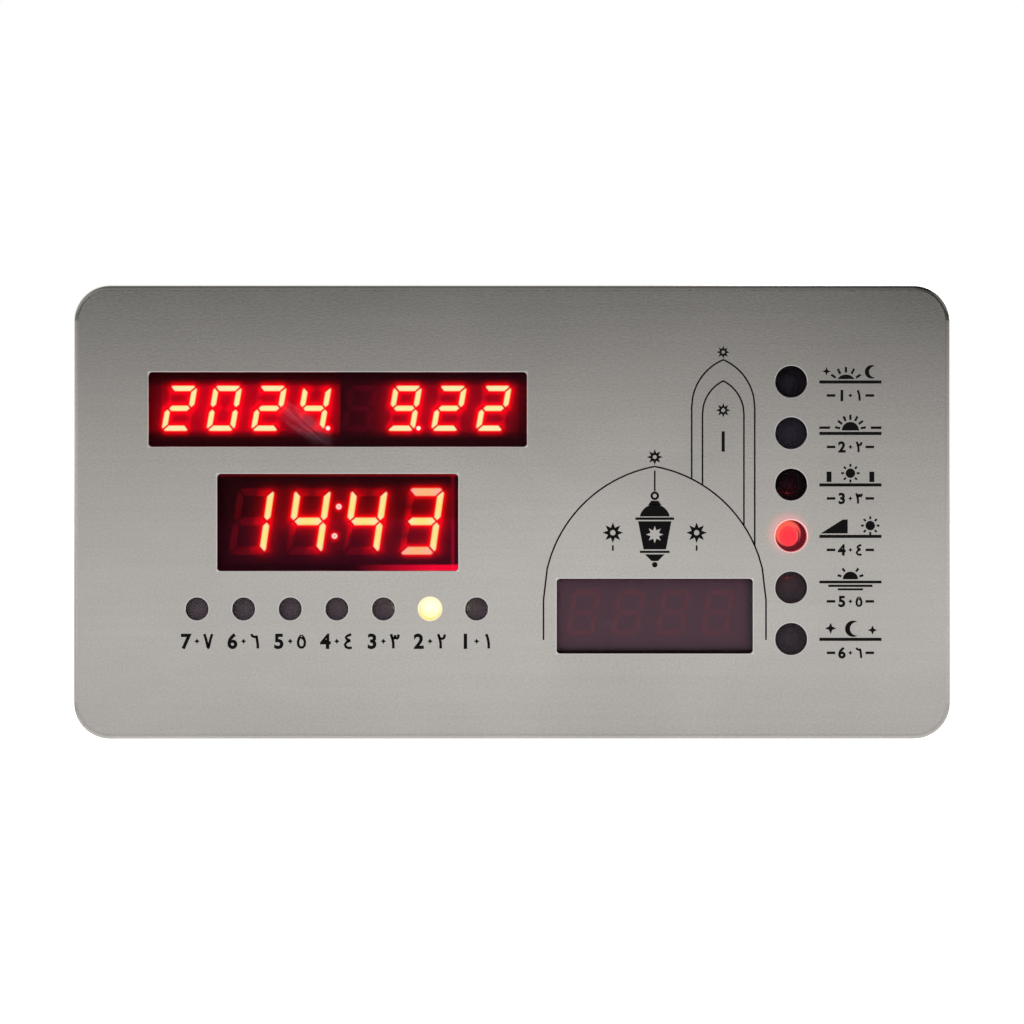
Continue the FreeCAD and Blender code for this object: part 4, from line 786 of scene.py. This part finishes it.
def stroke_rings(module, index, letter, shares):
    """Rings of points round a stroke, from its outline (share 1) in towards its middle line."""
    start, end = module.ends(letter)
    length = np.linalg.norm(end - start)
    along = (end - start) / length
    side = np.array([-along[1], along[0]])
    half = module.half(letter)
    outward = -side if np.dot(side, start + end) < -1e-9 else side
    lean = [half / 2 if letter in "ad" or STROKE_ENDS[letter][tip][1] != 0 else 0.0 for tip in (0, 1)]
    outline = [
        start + along * (STROKE_GAP - lean[0]) + outward * lean[0],
        start + along * (STROKE_GAP + half - 2 * lean[0]) + outward * half,
        (start + end) / 2 + outward * half,
        end - along * (STROKE_GAP + half - 2 * lean[1]) + outward * half,
        end - along * (STROKE_GAP - lean[1]) + outward * lean[1],
        end - along * (STROKE_GAP + half) - outward * half,
        (start + end) / 2 - outward * half,
        start + along * (STROKE_GAP + half) - outward * half,
    ]
    rings = []
    for share in shares:
        ring = []
        for point in outline:
            reach = np.clip(np.dot(point - start, along), half * 1.25, length - half * 1.25)
            spine = start + along * reach
            inner = spine + (point - spine) * share
            ring.append(module.spot(index, inner[0], inner[1]))
        rings.append(ring)
    return rings


def dot_rings(spot, diameter, shares):
    turns = [2 * math.pi * corner / DOT_CORNERS for corner in range(DOT_CORNERS)]
    return [[(spot[0] + radius * math.cos(turn), spot[1] + radius * math.sin(turn)) for turn in turns]
            for radius in (diameter / 2 * share for share in shares)]


def lit_piece(name, vertices, faces, shine, material):
    """A piece that stores the light of each of its points."""
    piece = new_piece(name, vertices, faces, material)
    layer = piece.data.color_attributes.new("shine", "FLOAT_COLOR", "POINT")
    layer.data.foreach_set("color", np.array([(*colour, 1.0) for colour in shine], np.float32).ravel())
    return piece


# how far out each ring of a stroke lies, and how high it stands; and how many steps each corner
# of a ring is from a tip
RING_SHARES = (1.0, 0.84, 0.64, 0.28)
RING_RISES = (0.5, 0.9, 1.0, 1.0)
STEPS_TO_TIP = (0, 1, 2, 1, 0, 1, 2, 1)


def digit_strokes(module, name, replaced, shade_at, ghost, bright, wall_share=0.30):
    """The epoxy of a module; a stroke that isn't lit glows with the painted light round it and a painted
    ghost glow.
    """
    vertices, faces, shine = [], [], []

    def add(rings, ring_colours, base_share=0.8):
        first = len(vertices)
        count = len(rings[0])
        centre = np.mean(rings[0], axis=0)
        base = [tuple(centre + (np.array(point) - centre) * base_share) for point in rings[0]]
        vertices.extend((x, module.face + STROKE_SUNK, z) for x, z in base)
        shine.extend([(0.0, 0.0, 0.0)] * count)
        for ring, rise, colours in zip(rings, RING_RISES, ring_colours):
            vertices.extend((x, module.face - STROKE_PROUD * rise, z) for x, z in ring)
            shine.extend(colours)
        for level in range(len(rings)):
            low, high = first + level * count, first + (level + 1) * count
            for corner in range(count):
                following = (corner + 1) % count
                faces.append((low + corner, low + following, high + following, high + corner))
        faces.append(tuple(first + corner for corner in reversed(range(count))))
        top = first + len(rings) * count
        faces.append(tuple(top + corner for corner in range(count)))

    def dark(rings):
        return [[tuple(shade) for shade in shade_at(*np.array(ring).T) + np.array(ghost)] for ring in rings]

    for index, letter, lit in module.strokes:
        rings = stroke_rings(module, index, letter, RING_SHARES)
        if lit:
            kind = "bar" if letter in "ad" else "stroke"
            shades = [(tip, tuple((a + b) / 2 for a, b in zip(tip, waist)), waist)
                      for tip, waist in zip(bright[f"{kind}_tips"], bright[kind])]
            add(rings, [[shade[steps] for steps in STEPS_TO_TIP] for shade in shades])
        else:
            add(rings, dark(rings))
    for spot, lit in module.dots:
        rings = dot_rings(spot, module.digit["dot"], RING_SHARES)
        add(rings, [[shade] * DOT_CORNERS for shade in bright["dots"]] if lit else dark(rings))
    for index in range(4):
        for (column, level), ways in JOINTS:
            joint = np.array((column * module.half_width, level * module.half_height))
            for way in ways:
                step = np.array(way) * module.half("a") * (SLANTED_WALL if way[1] else LEVEL_WALL)
                side = np.array((-step[1], step[0])) / np.linalg.norm(step) * WALL_WIDTH / 2
                corners = (joint - side, joint + step - side, joint + step + side, joint + side)
                ring = [module.spot(index, *corner) for corner in corners]
                # the walls between strokes are dark, and glow with a share of the painted light round them
                wall = [tuple(shade * wall_share) for shade in shade_at(*np.array(ring).T)]
                add([ring, ring], [wall, wall], 1.0)
    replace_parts(lit_piece(name, vertices, faces, shine, stroke_epoxy), replaced)


def glow_film(name, low, high, level, shade_at):
    """A film over a field, which glows with painted light at each point of it."""
    columns, rows = (max(2, round((high[axis] - low[axis]) / FILM_CELL)) for axis in (0, 1))
    xs, zs = np.meshgrid(np.linspace(low[0], high[0], columns + 1), np.linspace(low[1], high[1], rows + 1))
    xs, zs = xs.ravel(), zs.ravel()
    back = level - FILM_LIFT
    vertices = [(x, back - FILM_THICK, z) for x, z in zip(xs, zs)]
    width = columns + 1
    faces = [(row * width + column, row * width + column + 1,
              (row + 1) * width + column + 1, (row + 1) * width + column)
             for row in range(rows) for column in range(columns)]
    rim = ([column for column in range(width)]
           + [row * width + columns for row in range(1, rows + 1)]
           + [rows * width + column for column in reversed(range(columns))]
           + [row * width for row in reversed(range(1, rows))])
    behind = len(vertices)
    vertices += [(vertices[corner][0], back, vertices[corner][2]) for corner in rim]
    count = len(rim)
    faces += [(rim[index], behind + index, behind + (index + 1) % count, rim[(index + 1) % count])
              for index in range(count)]
    faces.append(tuple(behind + index for index in reversed(range(count))))
    lit_piece(name, vertices, faces, np.vstack((shade_at(xs, zs), np.zeros((count, 3)))), painted_glow_film)


def spilt(xs, zs, module, hot, near, wide, band, everywhere):
    """Painted red glow round the lit strokes of one module: a hot edge, and a near and a wide glow that fade
    above and below the digits. Each is a reach and a colour; band is how fast they fade."""
    edge, close, far = np.zeros(len(xs)), np.zeros(len(xs)), np.zeros(len(xs))
    for stroke in module.lit_lines():
        away = distances(xs, zs, stroke)
        weight = 1.0 if stroke[0] != stroke[1] else DOT_WEIGHT
        edge = np.maximum(edge, np.exp(-(away / hot[0]) ** 2))
        close += weight * np.exp(-away / near[0])
        far += weight * np.exp(-away / wide[0])
    middle = (module.low.z + module.high.z) / 2
    outside = np.maximum(np.abs(zs - middle) - module.digit["height"] / 2, 0)
    field = np.exp(-outside / band)
    return (edge[:, None] * np.array(hot[1]) + (close * field)[:, None] * np.array(near[1])
            + (far * field)[:, None] * np.array(wide[1]) + everywhere)


date_left = Module("date_display_left", SMALL_DIGIT, "2024", points=(3,), shift=-0.00025)
date_right = Module("date_display_right", SMALL_DIGIT, " 922", points=(1,))
time_shown = Module("time_display", LARGE_DIGIT, "1443", colon=True)
azan_shown = Module("azan_display", SMALL_DIGIT, "    ", colon=False)
# light of the strokes, from the outline of each in to its middle line
DATE_LIGHT = dict(
    stroke=((0.95, 0.045, 0.010), (1.0, 0.36, 0.10), (1.0, 0.86, 0.34), (1.0, 0.88, 0.38)),
    stroke_tips=((0.95, 0.030, 0.010), (1.0, 0.24, 0.12), (1.0, 0.66, 0.34), (1.0, 0.86, 0.42)),
    bar=((0.95, 0.050, 0.016), (1.0, 0.38, 0.14), (1.0, 0.87, 0.44), (1.0, 0.86, 0.45)),
    bar_tips=((0.95, 0.030, 0.012), (1.0, 0.26, 0.14), (1.0, 0.68, 0.38), (1.0, 0.84, 0.46)),
    dots=((1.0, 0.10, 0.08), (1.0, 0.55, 0.48), (1.0, 0.88, 0.80), (1.0, 0.92, 0.84)))
TIME_LIGHT = dict(
    stroke=((0.95, 0.035, 0.010), (1.0, 0.34, 0.10), (1.0, 0.72, 0.22), (1.0, 0.82, 0.22)),
    stroke_tips=((0.92, 0.035, 0.020), (1.0, 0.34, 0.20), (1.0, 0.74, 0.46), (1.0, 0.82, 0.45)),
    bar=((0.95, 0.045, 0.020), (1.0, 0.30, 0.13), (1.0, 0.48, 0.20), (1.0, 0.48, 0.20)),
    bar_tips=((0.92, 0.040, 0.040), (1.0, 0.26, 0.22), (1.0, 0.42, 0.36), (1.0, 0.46, 0.34)),
    dots=((1.0, 0.12, 0.12), (1.0, 0.55, 0.55), (1.0, 0.72, 0.66), (1.0, 0.48, 0.36)))
# painted glow of the strokes that are off, which stands for the light of the others on them
LEFT_GHOST = (0.030, 0.0, 0.001)
RIGHT_GHOST = (0.022, 0.0, 0.002)
TIME_GHOST = (0.050, 0.0, 0.0008)
AZAN_GHOST = (0.0230, 0.0, 0.0)
# painted glow that the strokes spill: reach and colour of each part, and the painted glow that is everywhere
LEFT_SPILL = dict(hot=(0.00070, (0.62, 0.0, 0.001)), near=(0.0013, (0.30, 0.0, 0.0012)),
                  wide=(0.0050, (0.045, 0.0, 0.0012)), band=0.0007, everywhere=(0.020, 0.0, 0.0004))
RIGHT_SPILL = dict(hot=(0.00070, (0.60, 0.0, 0.001)), near=(0.0012, (0.26, 0.0, 0.0012)),
                   wide=(0.0035, (0.035, 0.0, 0.0012)), band=0.0008, everywhere=(0.016, 0.0006, 0.0016))
TIME_SPILL = dict(hot=(0.00048, (0.45, 0.0, 0.001)), near=(0.0010, (0.42, 0.0, 0.0010)),
                  wide=(0.0060, (0.0050, 0.0, 0.0001)), band=0.0012, everywhere=(0.0095, 0.0001, 0.0006))
# how much a lit dot adds to the painted glow, and the share of that glow on the film past a module's case
DOT_WEIGHT = 0.4
PAST_CASE = 0.6
# painted glow on the lower half of the time display, on the edges under it, over it and to its right, and on
# the azan display
TIME_LOWER = (0.016, 0.0006, 0.0040)
TIME_SILL = (0.90, 0.001, 0.030)
TIME_HEAD = (0.70, 0.0, 0.010)
TIME_JAMB = (0.80, 0.003, 0.040)
AZAN_PAINTED_GLOW = (0.0245, 0.0052, 0.0112)


def past_case(xs, zs, low, high):
    return (zs > high.z) | (zs < low.z) | (xs < low.x) | (xs > high.x)


def date_shade(xs, zs):
    seam = (date_left.high.x + date_right.low.x) / 2
    shade = np.where((xs < seam)[:, None], spilt(xs, zs, date_left, **LEFT_SPILL),
                     spilt(xs, zs, date_right, **RIGHT_SPILL))
    shade[past_case(xs, zs, date_left.low, date_right.high)] *= PAST_CASE
    return shade


def time_shade(xs, zs):
    shade = spilt(xs, zs, time_shown, **TIME_SPILL)
    low, high = time_shown.low, time_shown.high
    run = np.clip((xs - low.x) / (high.x - low.x), 0, 1)
    lower = zs < (low.z + high.z) / 2 + 0.0006
    shade += (lower * (0.6 + 0.9 * run))[:, None] * np.array(TIME_LOWER)
    shade[past_case(xs, zs, low, high)] *= PAST_CASE
    sill = np.clip((low.z - 0.00010 - zs) / 0.0003, 0, 1) * np.clip((run - 0.56) / 0.36, 0, 1) ** 1.3
    head = np.clip((zs - high.z - 0.0004) / 0.0003, 0, 1) * (0.10 + 0.12 * run)
    jamb = np.exp(-((xs - high.x - 0.0003) / 0.00035) ** 2) * (0.16 + 0.14 * lower)
    for share, light in ((sill, TIME_SILL), (head, TIME_HEAD), (jamb, TIME_JAMB)):
        shade += share[:, None] * np.array(light)
    return shade


# painted glow over the azan display, which is off, fading out towards its foot and its right edge
def azan_shade(xs, zs):
    low, high = azan_shown.low, azan_shown.high
    fade = np.clip((zs - low.z + 0.0023) / 0.0021, 0, 1) * np.clip((high.x + 0.0016 - xs) / 0.0012, 0, 1)
    return fade[:, None] * np.array(AZAN_PAINTED_GLOW)


def around(*modules):
    """The field of a film: the modules and a margin round them."""
    low_x = min(module.low.x for module in modules) - FILM_MARGIN[0]
    high_x = max(module.high.x for module in modules) + FILM_MARGIN[0]
    return ((low_x, modules[0].low.z - FILM_MARGIN[1]), (high_x, modules[0].high.z + FILM_MARGIN[1]))


digit_strokes(date_left, "date_left_strokes", "date_left_segments", date_shade, LEFT_GHOST, DATE_LIGHT)
digit_strokes(date_right, "date_right_strokes", "date_right_segments", date_shade, RIGHT_GHOST, DATE_LIGHT)
digit_strokes(time_shown, "time_strokes", "time_segments", time_shade, TIME_GHOST, TIME_LIGHT)
digit_strokes(azan_shown, "azan_strokes", "azan_segments", azan_shade, AZAN_GHOST, TIME_LIGHT,
              wall_share=0.75)
glow_film("date_film", *around(date_left, date_right), date_left.face, date_shade)
glow_film("time_film", *around(time_shown), time_shown.face, time_shade)
glow_film("azan_film", *around(azan_shown), azan_shown.face, azan_shade)

# ---------------------------------------------------------------- pins and leads
# Tinned copper pins and leads, soldered to the board: a soft bright metal, dull in patches where
# the flux has dried on it.
TIN = (0.78, 0.78, 0.75)
TIN_FLUXED = (0.52, 0.51, 0.47)
tinned, tin = new_finish("tinned")
tin_dull = tin.noise(2500, detail=4)
tin.surface(
    Base_Color=tin.mixed(tin_dull.eased(0.4, 0.8), TIN, TIN_FLUXED),
    Metallic=1.0, Roughness=0.24 + tin_dull * 0.20, Normal=tin.relief(tin_dull, 0.000008))
dress(tinned, "display_pins", "lamp_leads", "chip_leads", "jack_pin")

# ---------------------------------------------------------------- lamps
# Round 5 mm lamps cast in cloudy epoxy: yellow for the days, red or smoky for the hours. Two are alight. A
# ring between each of those and the filter glows with painted light across the hole.
RING_SEGMENTS = 48
RING_LEVEL = 0.02682
RING_THICK = 0.00008
RING_STEPS = 12
DAY_RING_RADII = (0.0022, 0.0031)
HOUR_RING_RADII = (0.0023, 0.0042)
# a day's lamp that is off, and the tints of the hours' ones from the top down, each the lens's own colour
# mixed with a painted reflection: each pair is the cleaner and the duller patches of one lens
OFF_DAY = ((0.30, 0.25, 0.22), (0.24, 0.20, 0.18))
OFF_HOURS = {1: ((0.16, 0.26, 0.40), (0.10, 0.16, 0.25)), 2: ((0.22, 0.22, 0.34), (0.14, 0.14, 0.22)),
             3: ((0.31, 0.01, 0.07), (0.13, 0.01, 0.04)), 5: ((0.46, 0.10, 0.20), (0.26, 0.11, 0.18)),
             6: ((0.22, 0.22, 0.32), (0.17, 0.17, 0.25))}
# a lamp that is alight: the light of its core, of the glow round it, of its rim and of its lower
# side, and where the core and the glow begin and end to fade
DAY_SHINE = dict(core=(1.0, 1.0, 0.80), glow=(1.0, 1.0, 0.64), rim=(1.0, 0.94, 0.42), low=(1.0, 0.97, 0.42),
                 core_reach=(0.0004, 0.0016), rim_reach=(0.0017, 0.0026))
HOUR_SHINE = dict(core=(1.0, 0.040, 0.060), glow=(1.0, 0.055, 0.066), rim=(1.0, 0.110, 0.110),
                  low=(1.0, 0.042, 0.060), core_reach=(0.0010, 0.0019), rim_reach=(0.0018, 0.0025))
LOWER_SIDE = (-0.0004, 0.0022)
# painted glow on the rings: towards the top and the foot of the day's, to the lower right and the upper left
# of the hour's, and a dimmer painted glow on the crescent that is left of the hour's
DAY_RING = ((1.0, 0.92, 0.52), (1.0, 0.82, 0.24))
HOUR_RING = ((1.0, 0.085, 0.095), (1.0, 0.135, 0.085))
HOUR_CRESCENT = (0.120, 0.006, 0.012)


def lens(name, base, dull):
    material, finish = new_finish(name)
    cloud = finish.noise(900, detail=4)
    patches = finish.noise(260, detail=3)
    finish.surface(Base_Color=finish.mixed(patches.eased(0.3, 0.7), base, dull),
                   Roughness=0.24 + (cloud - 0.5) * 0.15, Coat_Weight=0.4,
                   Normal=finish.relief(cloud, 0.00001))
    return material


def lit_lens(name, lamp, core, glow, rim, low, core_reach, rim_reach):
    """A lamp that is alight, its colour changing outwards and downwards from the dome's middle."""
    material, finish = new_finish(name)
    centre = middle_of(lamp)
    away = finish.distance(centre, (1, 0, 1))
    cloud = finish.noise(1500, detail=3)
    shine = finish.mixed(away.eased(*core_reach), core, glow)
    shine = finish.mixed(away.eased(*rim_reach), shine, rim)
    shine = finish.mixed((centre.z - finish.along("Z")).eased(*LOWER_SIDE) * 0.7, shine, low)
    finish.surface(Base_Color=rim, Roughness=0.22 + (cloud - 0.5) * 0.12,
                   Emission_Color=finish.scaled(shine, 0.97 + (cloud - 0.5) * 0.14),
                   Emission_Strength=1.0 / LIGHT_PASSED, Normal=finish.relief(cloud, 0.00001))
    return material


def light_ring(name, lamp, reach, shade_at):
    """A ring in front of a lit lamp, which glows with painted light at each point of it."""
    centre = middle_of(lamp)
    radii = np.linspace(*reach, RING_STEPS)
    turns = np.radians(np.arange(RING_SEGMENTS) * 360 / RING_SEGMENTS)
    vertices, shine = [], []
    for side, level in ((1, RING_LEVEL + RING_THICK), (-1, RING_LEVEL)):
        for radius in (radii if side > 0 else radii[[-1, 0]]):
            xs, zs = centre.x + radius * np.cos(turns), centre.z + radius * np.sin(turns)
            vertices += [(x, -level, z) for x, z in zip(xs, zs)]
            shine += list(shade_at(xs, zs))
    rings = len(vertices) // RING_SEGMENTS
    faces = []
    for ring in range(rings):
        following = (ring + 1) % rings
        for step in range(RING_SEGMENTS):
            after = (step + 1) % RING_SEGMENTS
            faces.append((ring * RING_SEGMENTS + step, following * RING_SEGMENTS + step,
                          following * RING_SEGMENTS + after, ring * RING_SEGMENTS + after))
    lit_piece(name, vertices, faces, shine, painted_glow_film)


yellow_lens = lens("yellow_lens", *OFF_DAY)
dress(yellow_lens, *(f"day_lamp_{number}" for number in range(1, 8) if f"day_lamp_{number}" != LIT_DAY))
dress(lit_lens("lit_yellow_lens", LIT_DAY, **DAY_SHINE), LIT_DAY)
for number, tints in OFF_HOURS.items():
    dress(lens(f"hour_lens_{number}", *tints), f"prayer_lamp_{number}")
dress(lit_lens("lit_red_lens", LIT_HOUR, **HOUR_SHINE), LIT_HOUR)


def between(first, second, share):
    share = np.clip(share, 0, 1)[:, None]
    return np.array(first) * (1 - share) + np.array(second) * share


def day_ring_shade(xs, zs):
    return between(*DAY_RING, (middle_of(LIT_DAY).z - zs) / 0.0028 + 0.35)


def hour_ring_shade(xs, zs):
    across, up = xs - hour_lamp.x, zs - hour_lamp.z
    bright = between(*HOUR_RING, (up - across) / 0.006 + 0.5)
    return between(HOUR_CRESCENT, bright, (0.00305 - np.hypot(across + 0.00030, up - 0.00055)) / 0.00045)


light_ring("day_light_ring", LIT_DAY, DAY_RING_RADII, day_ring_shade)
light_ring("hour_light_ring", LIT_HOUR, HOUR_RING_RADII, hour_ring_shade)

# Black strips hold the lamps square. They are moulded in glass-filled nylon with a matt grain,
# as are the holder of the back-up cell and the switches under the keys.
dress(dyed("matt_nylon", (0.016, 0.015, 0.016), worn=(0.030, 0.028, 0.029),
           roughness=0.62, grain=0.0002, depth=0.00002),
      "day_lamp_holder", "prayer_lamp_holder", "cell_holder", "key_switches")

# ---------------------------------------------------------------- parts behind the board
# Chips in black epoxy, a nickel-plated crystal can, sleeved capacitors, glazed resistors, the
# back-up cell under its spring clip, and the nylon socket for the speaker's wires.
dress(dyed("chip_epoxy", (0.030, 0.030, 0.033), worn=(0.048, 0.047, 0.050),
           roughness=0.58, grain=0.00012, depth=0.000008),
      "microcontroller", "display_drivers", "sound_memory", "audio_amplifier", "voltage_regulator")
dress(dyed("can_sleeve", (0.018, 0.022, 0.060), worn=(0.040, 0.044, 0.085),
           roughness=0.30, grain=0.0008, depth=0.000010), "capacitors")
dress(dyed("resistor_glaze", (0.045, 0.046, 0.052), worn=(0.080, 0.082, 0.090),
           roughness=0.28, grain=0.0003, depth=0.000006), "resistors")
dress(dyed("nylon_socket", (0.74, 0.71, 0.61), worn=(0.60, 0.56, 0.46),
           roughness=0.46, grain=0.0005, depth=0.000012), "speaker_socket")


def rolled(name, bright, dull, roughness, fineness):
    """Thin sheet metal with the lines of the rolls or the draw in it."""
    material, finish = new_finish(name)
    draw = finish.noise(fineness, detail=3)
    stain = finish.noise(300, detail=5, warp=1.0)
    finish.surface(
        Base_Color=finish.mixed(stain.eased(0.45, 0.8), bright, dull), Metallic=1.0,
        Roughness=roughness + (draw - 0.5) * 0.14 + (stain - 0.5) * 0.15,
        Normal=finish.relief(draw, 0.000004))
    return material


dress(rolled("nickel_can", (0.72, 0.70, 0.66), dull=(0.55, 0.53, 0.49), roughness=0.26,
             fineness=(200, 200, 5000)), "clock_crystal")
dress(rolled("cell_steel", (0.74, 0.74, 0.73), dull=(0.60, 0.60, 0.58), roughness=0.24,
             fineness=(3000, 3000, 400)), "coin_cell")
dress(rolled("spring_steel", (0.66, 0.65, 0.60), dull=(0.48, 0.45, 0.40), roughness=0.30,
             fineness=(4000, 400, 400)), "cell_clip")

# ---------------------------------------------------------------- speaker
# A pressed and black-coated basket, a ferrite magnet, a paper cone in a treated cloth surround,
# a brown card with the tags, and two wires in red insulation.
dress(dyed("coated_steel", (0.028, 0.028, 0.030), worn=(0.060, 0.058, 0.056),
           roughness=0.36, grain=0.0003, depth=0.00001), "speaker_frame")
dress(dyed("ferrite", (0.055, 0.055, 0.058), worn=(0.085, 0.082, 0.080),
           roughness=0.52, grain=0.0004, depth=0.00004), "speaker_magnet")
dress(dyed("cone_paper", (0.036, 0.032, 0.028), worn=(0.060, 0.054, 0.048),
           roughness=0.88, grain=0.00035, depth=0.00005), "speaker_cone")
dress(dyed("cone_cloth", (0.022, 0.022, 0.022), worn=(0.040, 0.038, 0.036),
           roughness=0.80, grain=0.00045, depth=0.00006), "speaker_surround")
dress(dyed("tag_card", (0.30, 0.17, 0.07), worn=(0.22, 0.12, 0.05),
           roughness=0.60, grain=0.0004, depth=0.00002), "speaker_tags")
dress(dyed("red_sleeve", (0.36, 0.014, 0.012), worn=(0.26, 0.020, 0.016),
           roughness=0.38, grain=0.0006, depth=0.00001), "speaker_wires")

# ---------------------------------------------------------------- rear housing, inlet and keys
# A tub moulded in black ABS with a fine spark-eroded texture, a glossier inlet socket and four
# smooth keys in its bottom wall.
dress(dyed("spark_abs", (0.030, 0.030, 0.032), worn=(0.050, 0.049, 0.050),
           roughness=0.56, grain=0.00060, depth=0.000080), "rear_housing")
dress(dyed("inlet_plastic", (0.014, 0.014, 0.015), worn=(0.030, 0.029, 0.029),
           roughness=0.30, grain=0.0004, depth=0.00001), "power_jack")
dress(dyed("key_plastic", (0.040, 0.040, 0.043), worn=(0.070, 0.068, 0.068),
           roughness=0.34, grain=0.0005, depth=0.00001), "set_key", "mode_key", "up_key", "down_key")

# ---------------------------------------------------------------- room
# The clock hangs over a wide pale floor. To the eye the room is white all round; what metal
# mirrors of it has tones of its own. One soft light is overhead, one in front and one behind.
FLOOR_LEVEL = -0.20
FLOOR_REACH = 30.0
FLOOR_PALE = (0.80, 0.80, 0.79)
FLOOR_DUSTY = (0.78, 0.78, 0.77)
WHITE = (1.0, 1.0, 1.0)


def ray(finish, kind):
    """1 for the rays of one kind, and 0 for all others."""
    return finish.add("LightPath", {}, {}, output=f"Is {kind} Ray")


floor_material, floor = new_finish("pale_floor")
away = floor.distance((0, 0, FLOOR_LEVEL), (1, 1, 0))
mirrored = (ray(floor, "Glossy") + ray(floor, "Transmission")).limited()
floor_colour = floor.mixed(floor.noise(14, detail=4), FLOOR_PALE, FLOOR_DUSTY)
matt = floor.add("BsdfDiffuse", {}, {"Color": floor_colour})
lift = floor.scaled(WHITE, ray(floor, "Camera") * (0.30 + away.eased(0.20, 1.4) * 0.60))
shown = floor.add("AddShader", {}, {"Shader": matt, "Shader_001": floor.add("Emission", {}, {"Color": lift})})
# what metal mirrors of the floor: paler far away and close under the clock, darker behind it
ground_across, ground_way = floor.along("X"), floor.along("Y")
ground = 0.432 + away.eased(0.90, 2.3) * 0.245 + ground_across.eased(-0.90, -0.10) * 0.07
ground = ground + (1.0 - ground_way.size().eased(0.06, 0.16)) * 0.18 - ground_way.eased(0.08, 0.40) * 0.30
pool = floor.add("Emission", {}, {"Color": floor.scaled(WHITE, ground)})
floor.show(floor.add("MixShader", {}, {"Fac": mirrored, "Shader": shown, "Shader_001": pool}))
corners = [(x * FLOOR_REACH, y * FLOOR_REACH, FLOOR_LEVEL)
           for x, y in ((-1, -1), (1, -1), (1, 1), (-1, 1))]
made("floor", corners, [(0, 1, 2, 3)], floor_material)

world = bpy.data.worlds.new("studio")
world.use_nodes = True
bpy.context.scene.world = world
sky = Finish(world.node_tree)
way = sky.add("TexCoord", {}, {}, output=0)
way_x, way_y, way_z = (sky.add("SeparateXYZ", {}, {"Vector": way}, output=axis) for axis in "XYZ")
# the walls: dim in front just over the horizon and to the right, paler higher up, white behind
walls = 0.568 - way_z.eased(0.049, 0.137) * 0.535 + way_z.eased(0.196, 0.364) * 0.24
walls = walls - way_z.eased(0.60, 0.95) * 0.12 - (way_x - 0.03).size().eased(0.0, 0.30) * 0.08 - way_x * 0.19
walls = walls - way_x.eased(0.10, 0.32) * 0.045 + way_x.eased(0.45, 0.85) * 0.24
studio = (walls + way_y.eased(0.20, 0.70)).limited()
seen, spread = ray(sky, "Camera"), ray(sky, "Diffuse")
brightness = seen + (1.0 - seen) * (spread * 0.55 + (1.0 - spread) * studio)
sky.show(sky.add("Background", {}, {"Color": sky.scaled(WHITE, brightness)}), "World")


def soft_light(name, place, size, power, mirrored):
    """A square lamp behind a diffuser, aimed at the clock; metal may show it or only be lit by it."""
    lamp = bpy.data.lights.new(name, "AREA")
    lamp.shape = "SQUARE"
    lamp.size = size
    lamp.energy = power
    holder, aim = stand(name, lamp), stand(f"{name}_aim", None)
    holder.location = place
    holder.visible_glossy = mirrored
    hold = holder.constraints.new("TRACK_TO")
    hold.target = aim
    hold.track_axis = "TRACK_NEGATIVE_Z"
    hold.up_axis = "UP_Y"


soft_light("overhead_light", (0.0, 0.05, 1.1), size=0.9, power=5.0, mirrored=False)
soft_light("front_light", (-0.55, -0.65, 1.15), size=0.7, power=7.0, mirrored=False)
soft_light("rear_light", (0.6, 1.0, 0.6), size=0.8, power=8.0, mirrored=True)

# the camera looks straight at the face, of whose plane it sees this width
CAMERA_PLACE = (0.0, -0.43, 0.0)
VIEW_WIDTH = 0.2273852
SENSOR_WIDTH = 36.0
camera = bpy.data.cameras.new("camera")
camera.sensor_fit = "HORIZONTAL"
camera.sensor_width = SENSOR_WIDTH
camera.lens = SENSOR_WIDTH * (FACE - CAMERA_PLACE[1]) / VIEW_WIDTH
camera.clip_start = 0.01
tripod = stand("camera", camera)
tripod.location = CAMERA_PLACE
tripod.rotation_euler = (math.radians(90), 0, 0)
bpy.context.scene.camera = tripod
bpy.context.scene.view_settings.view_transform = "Standard"
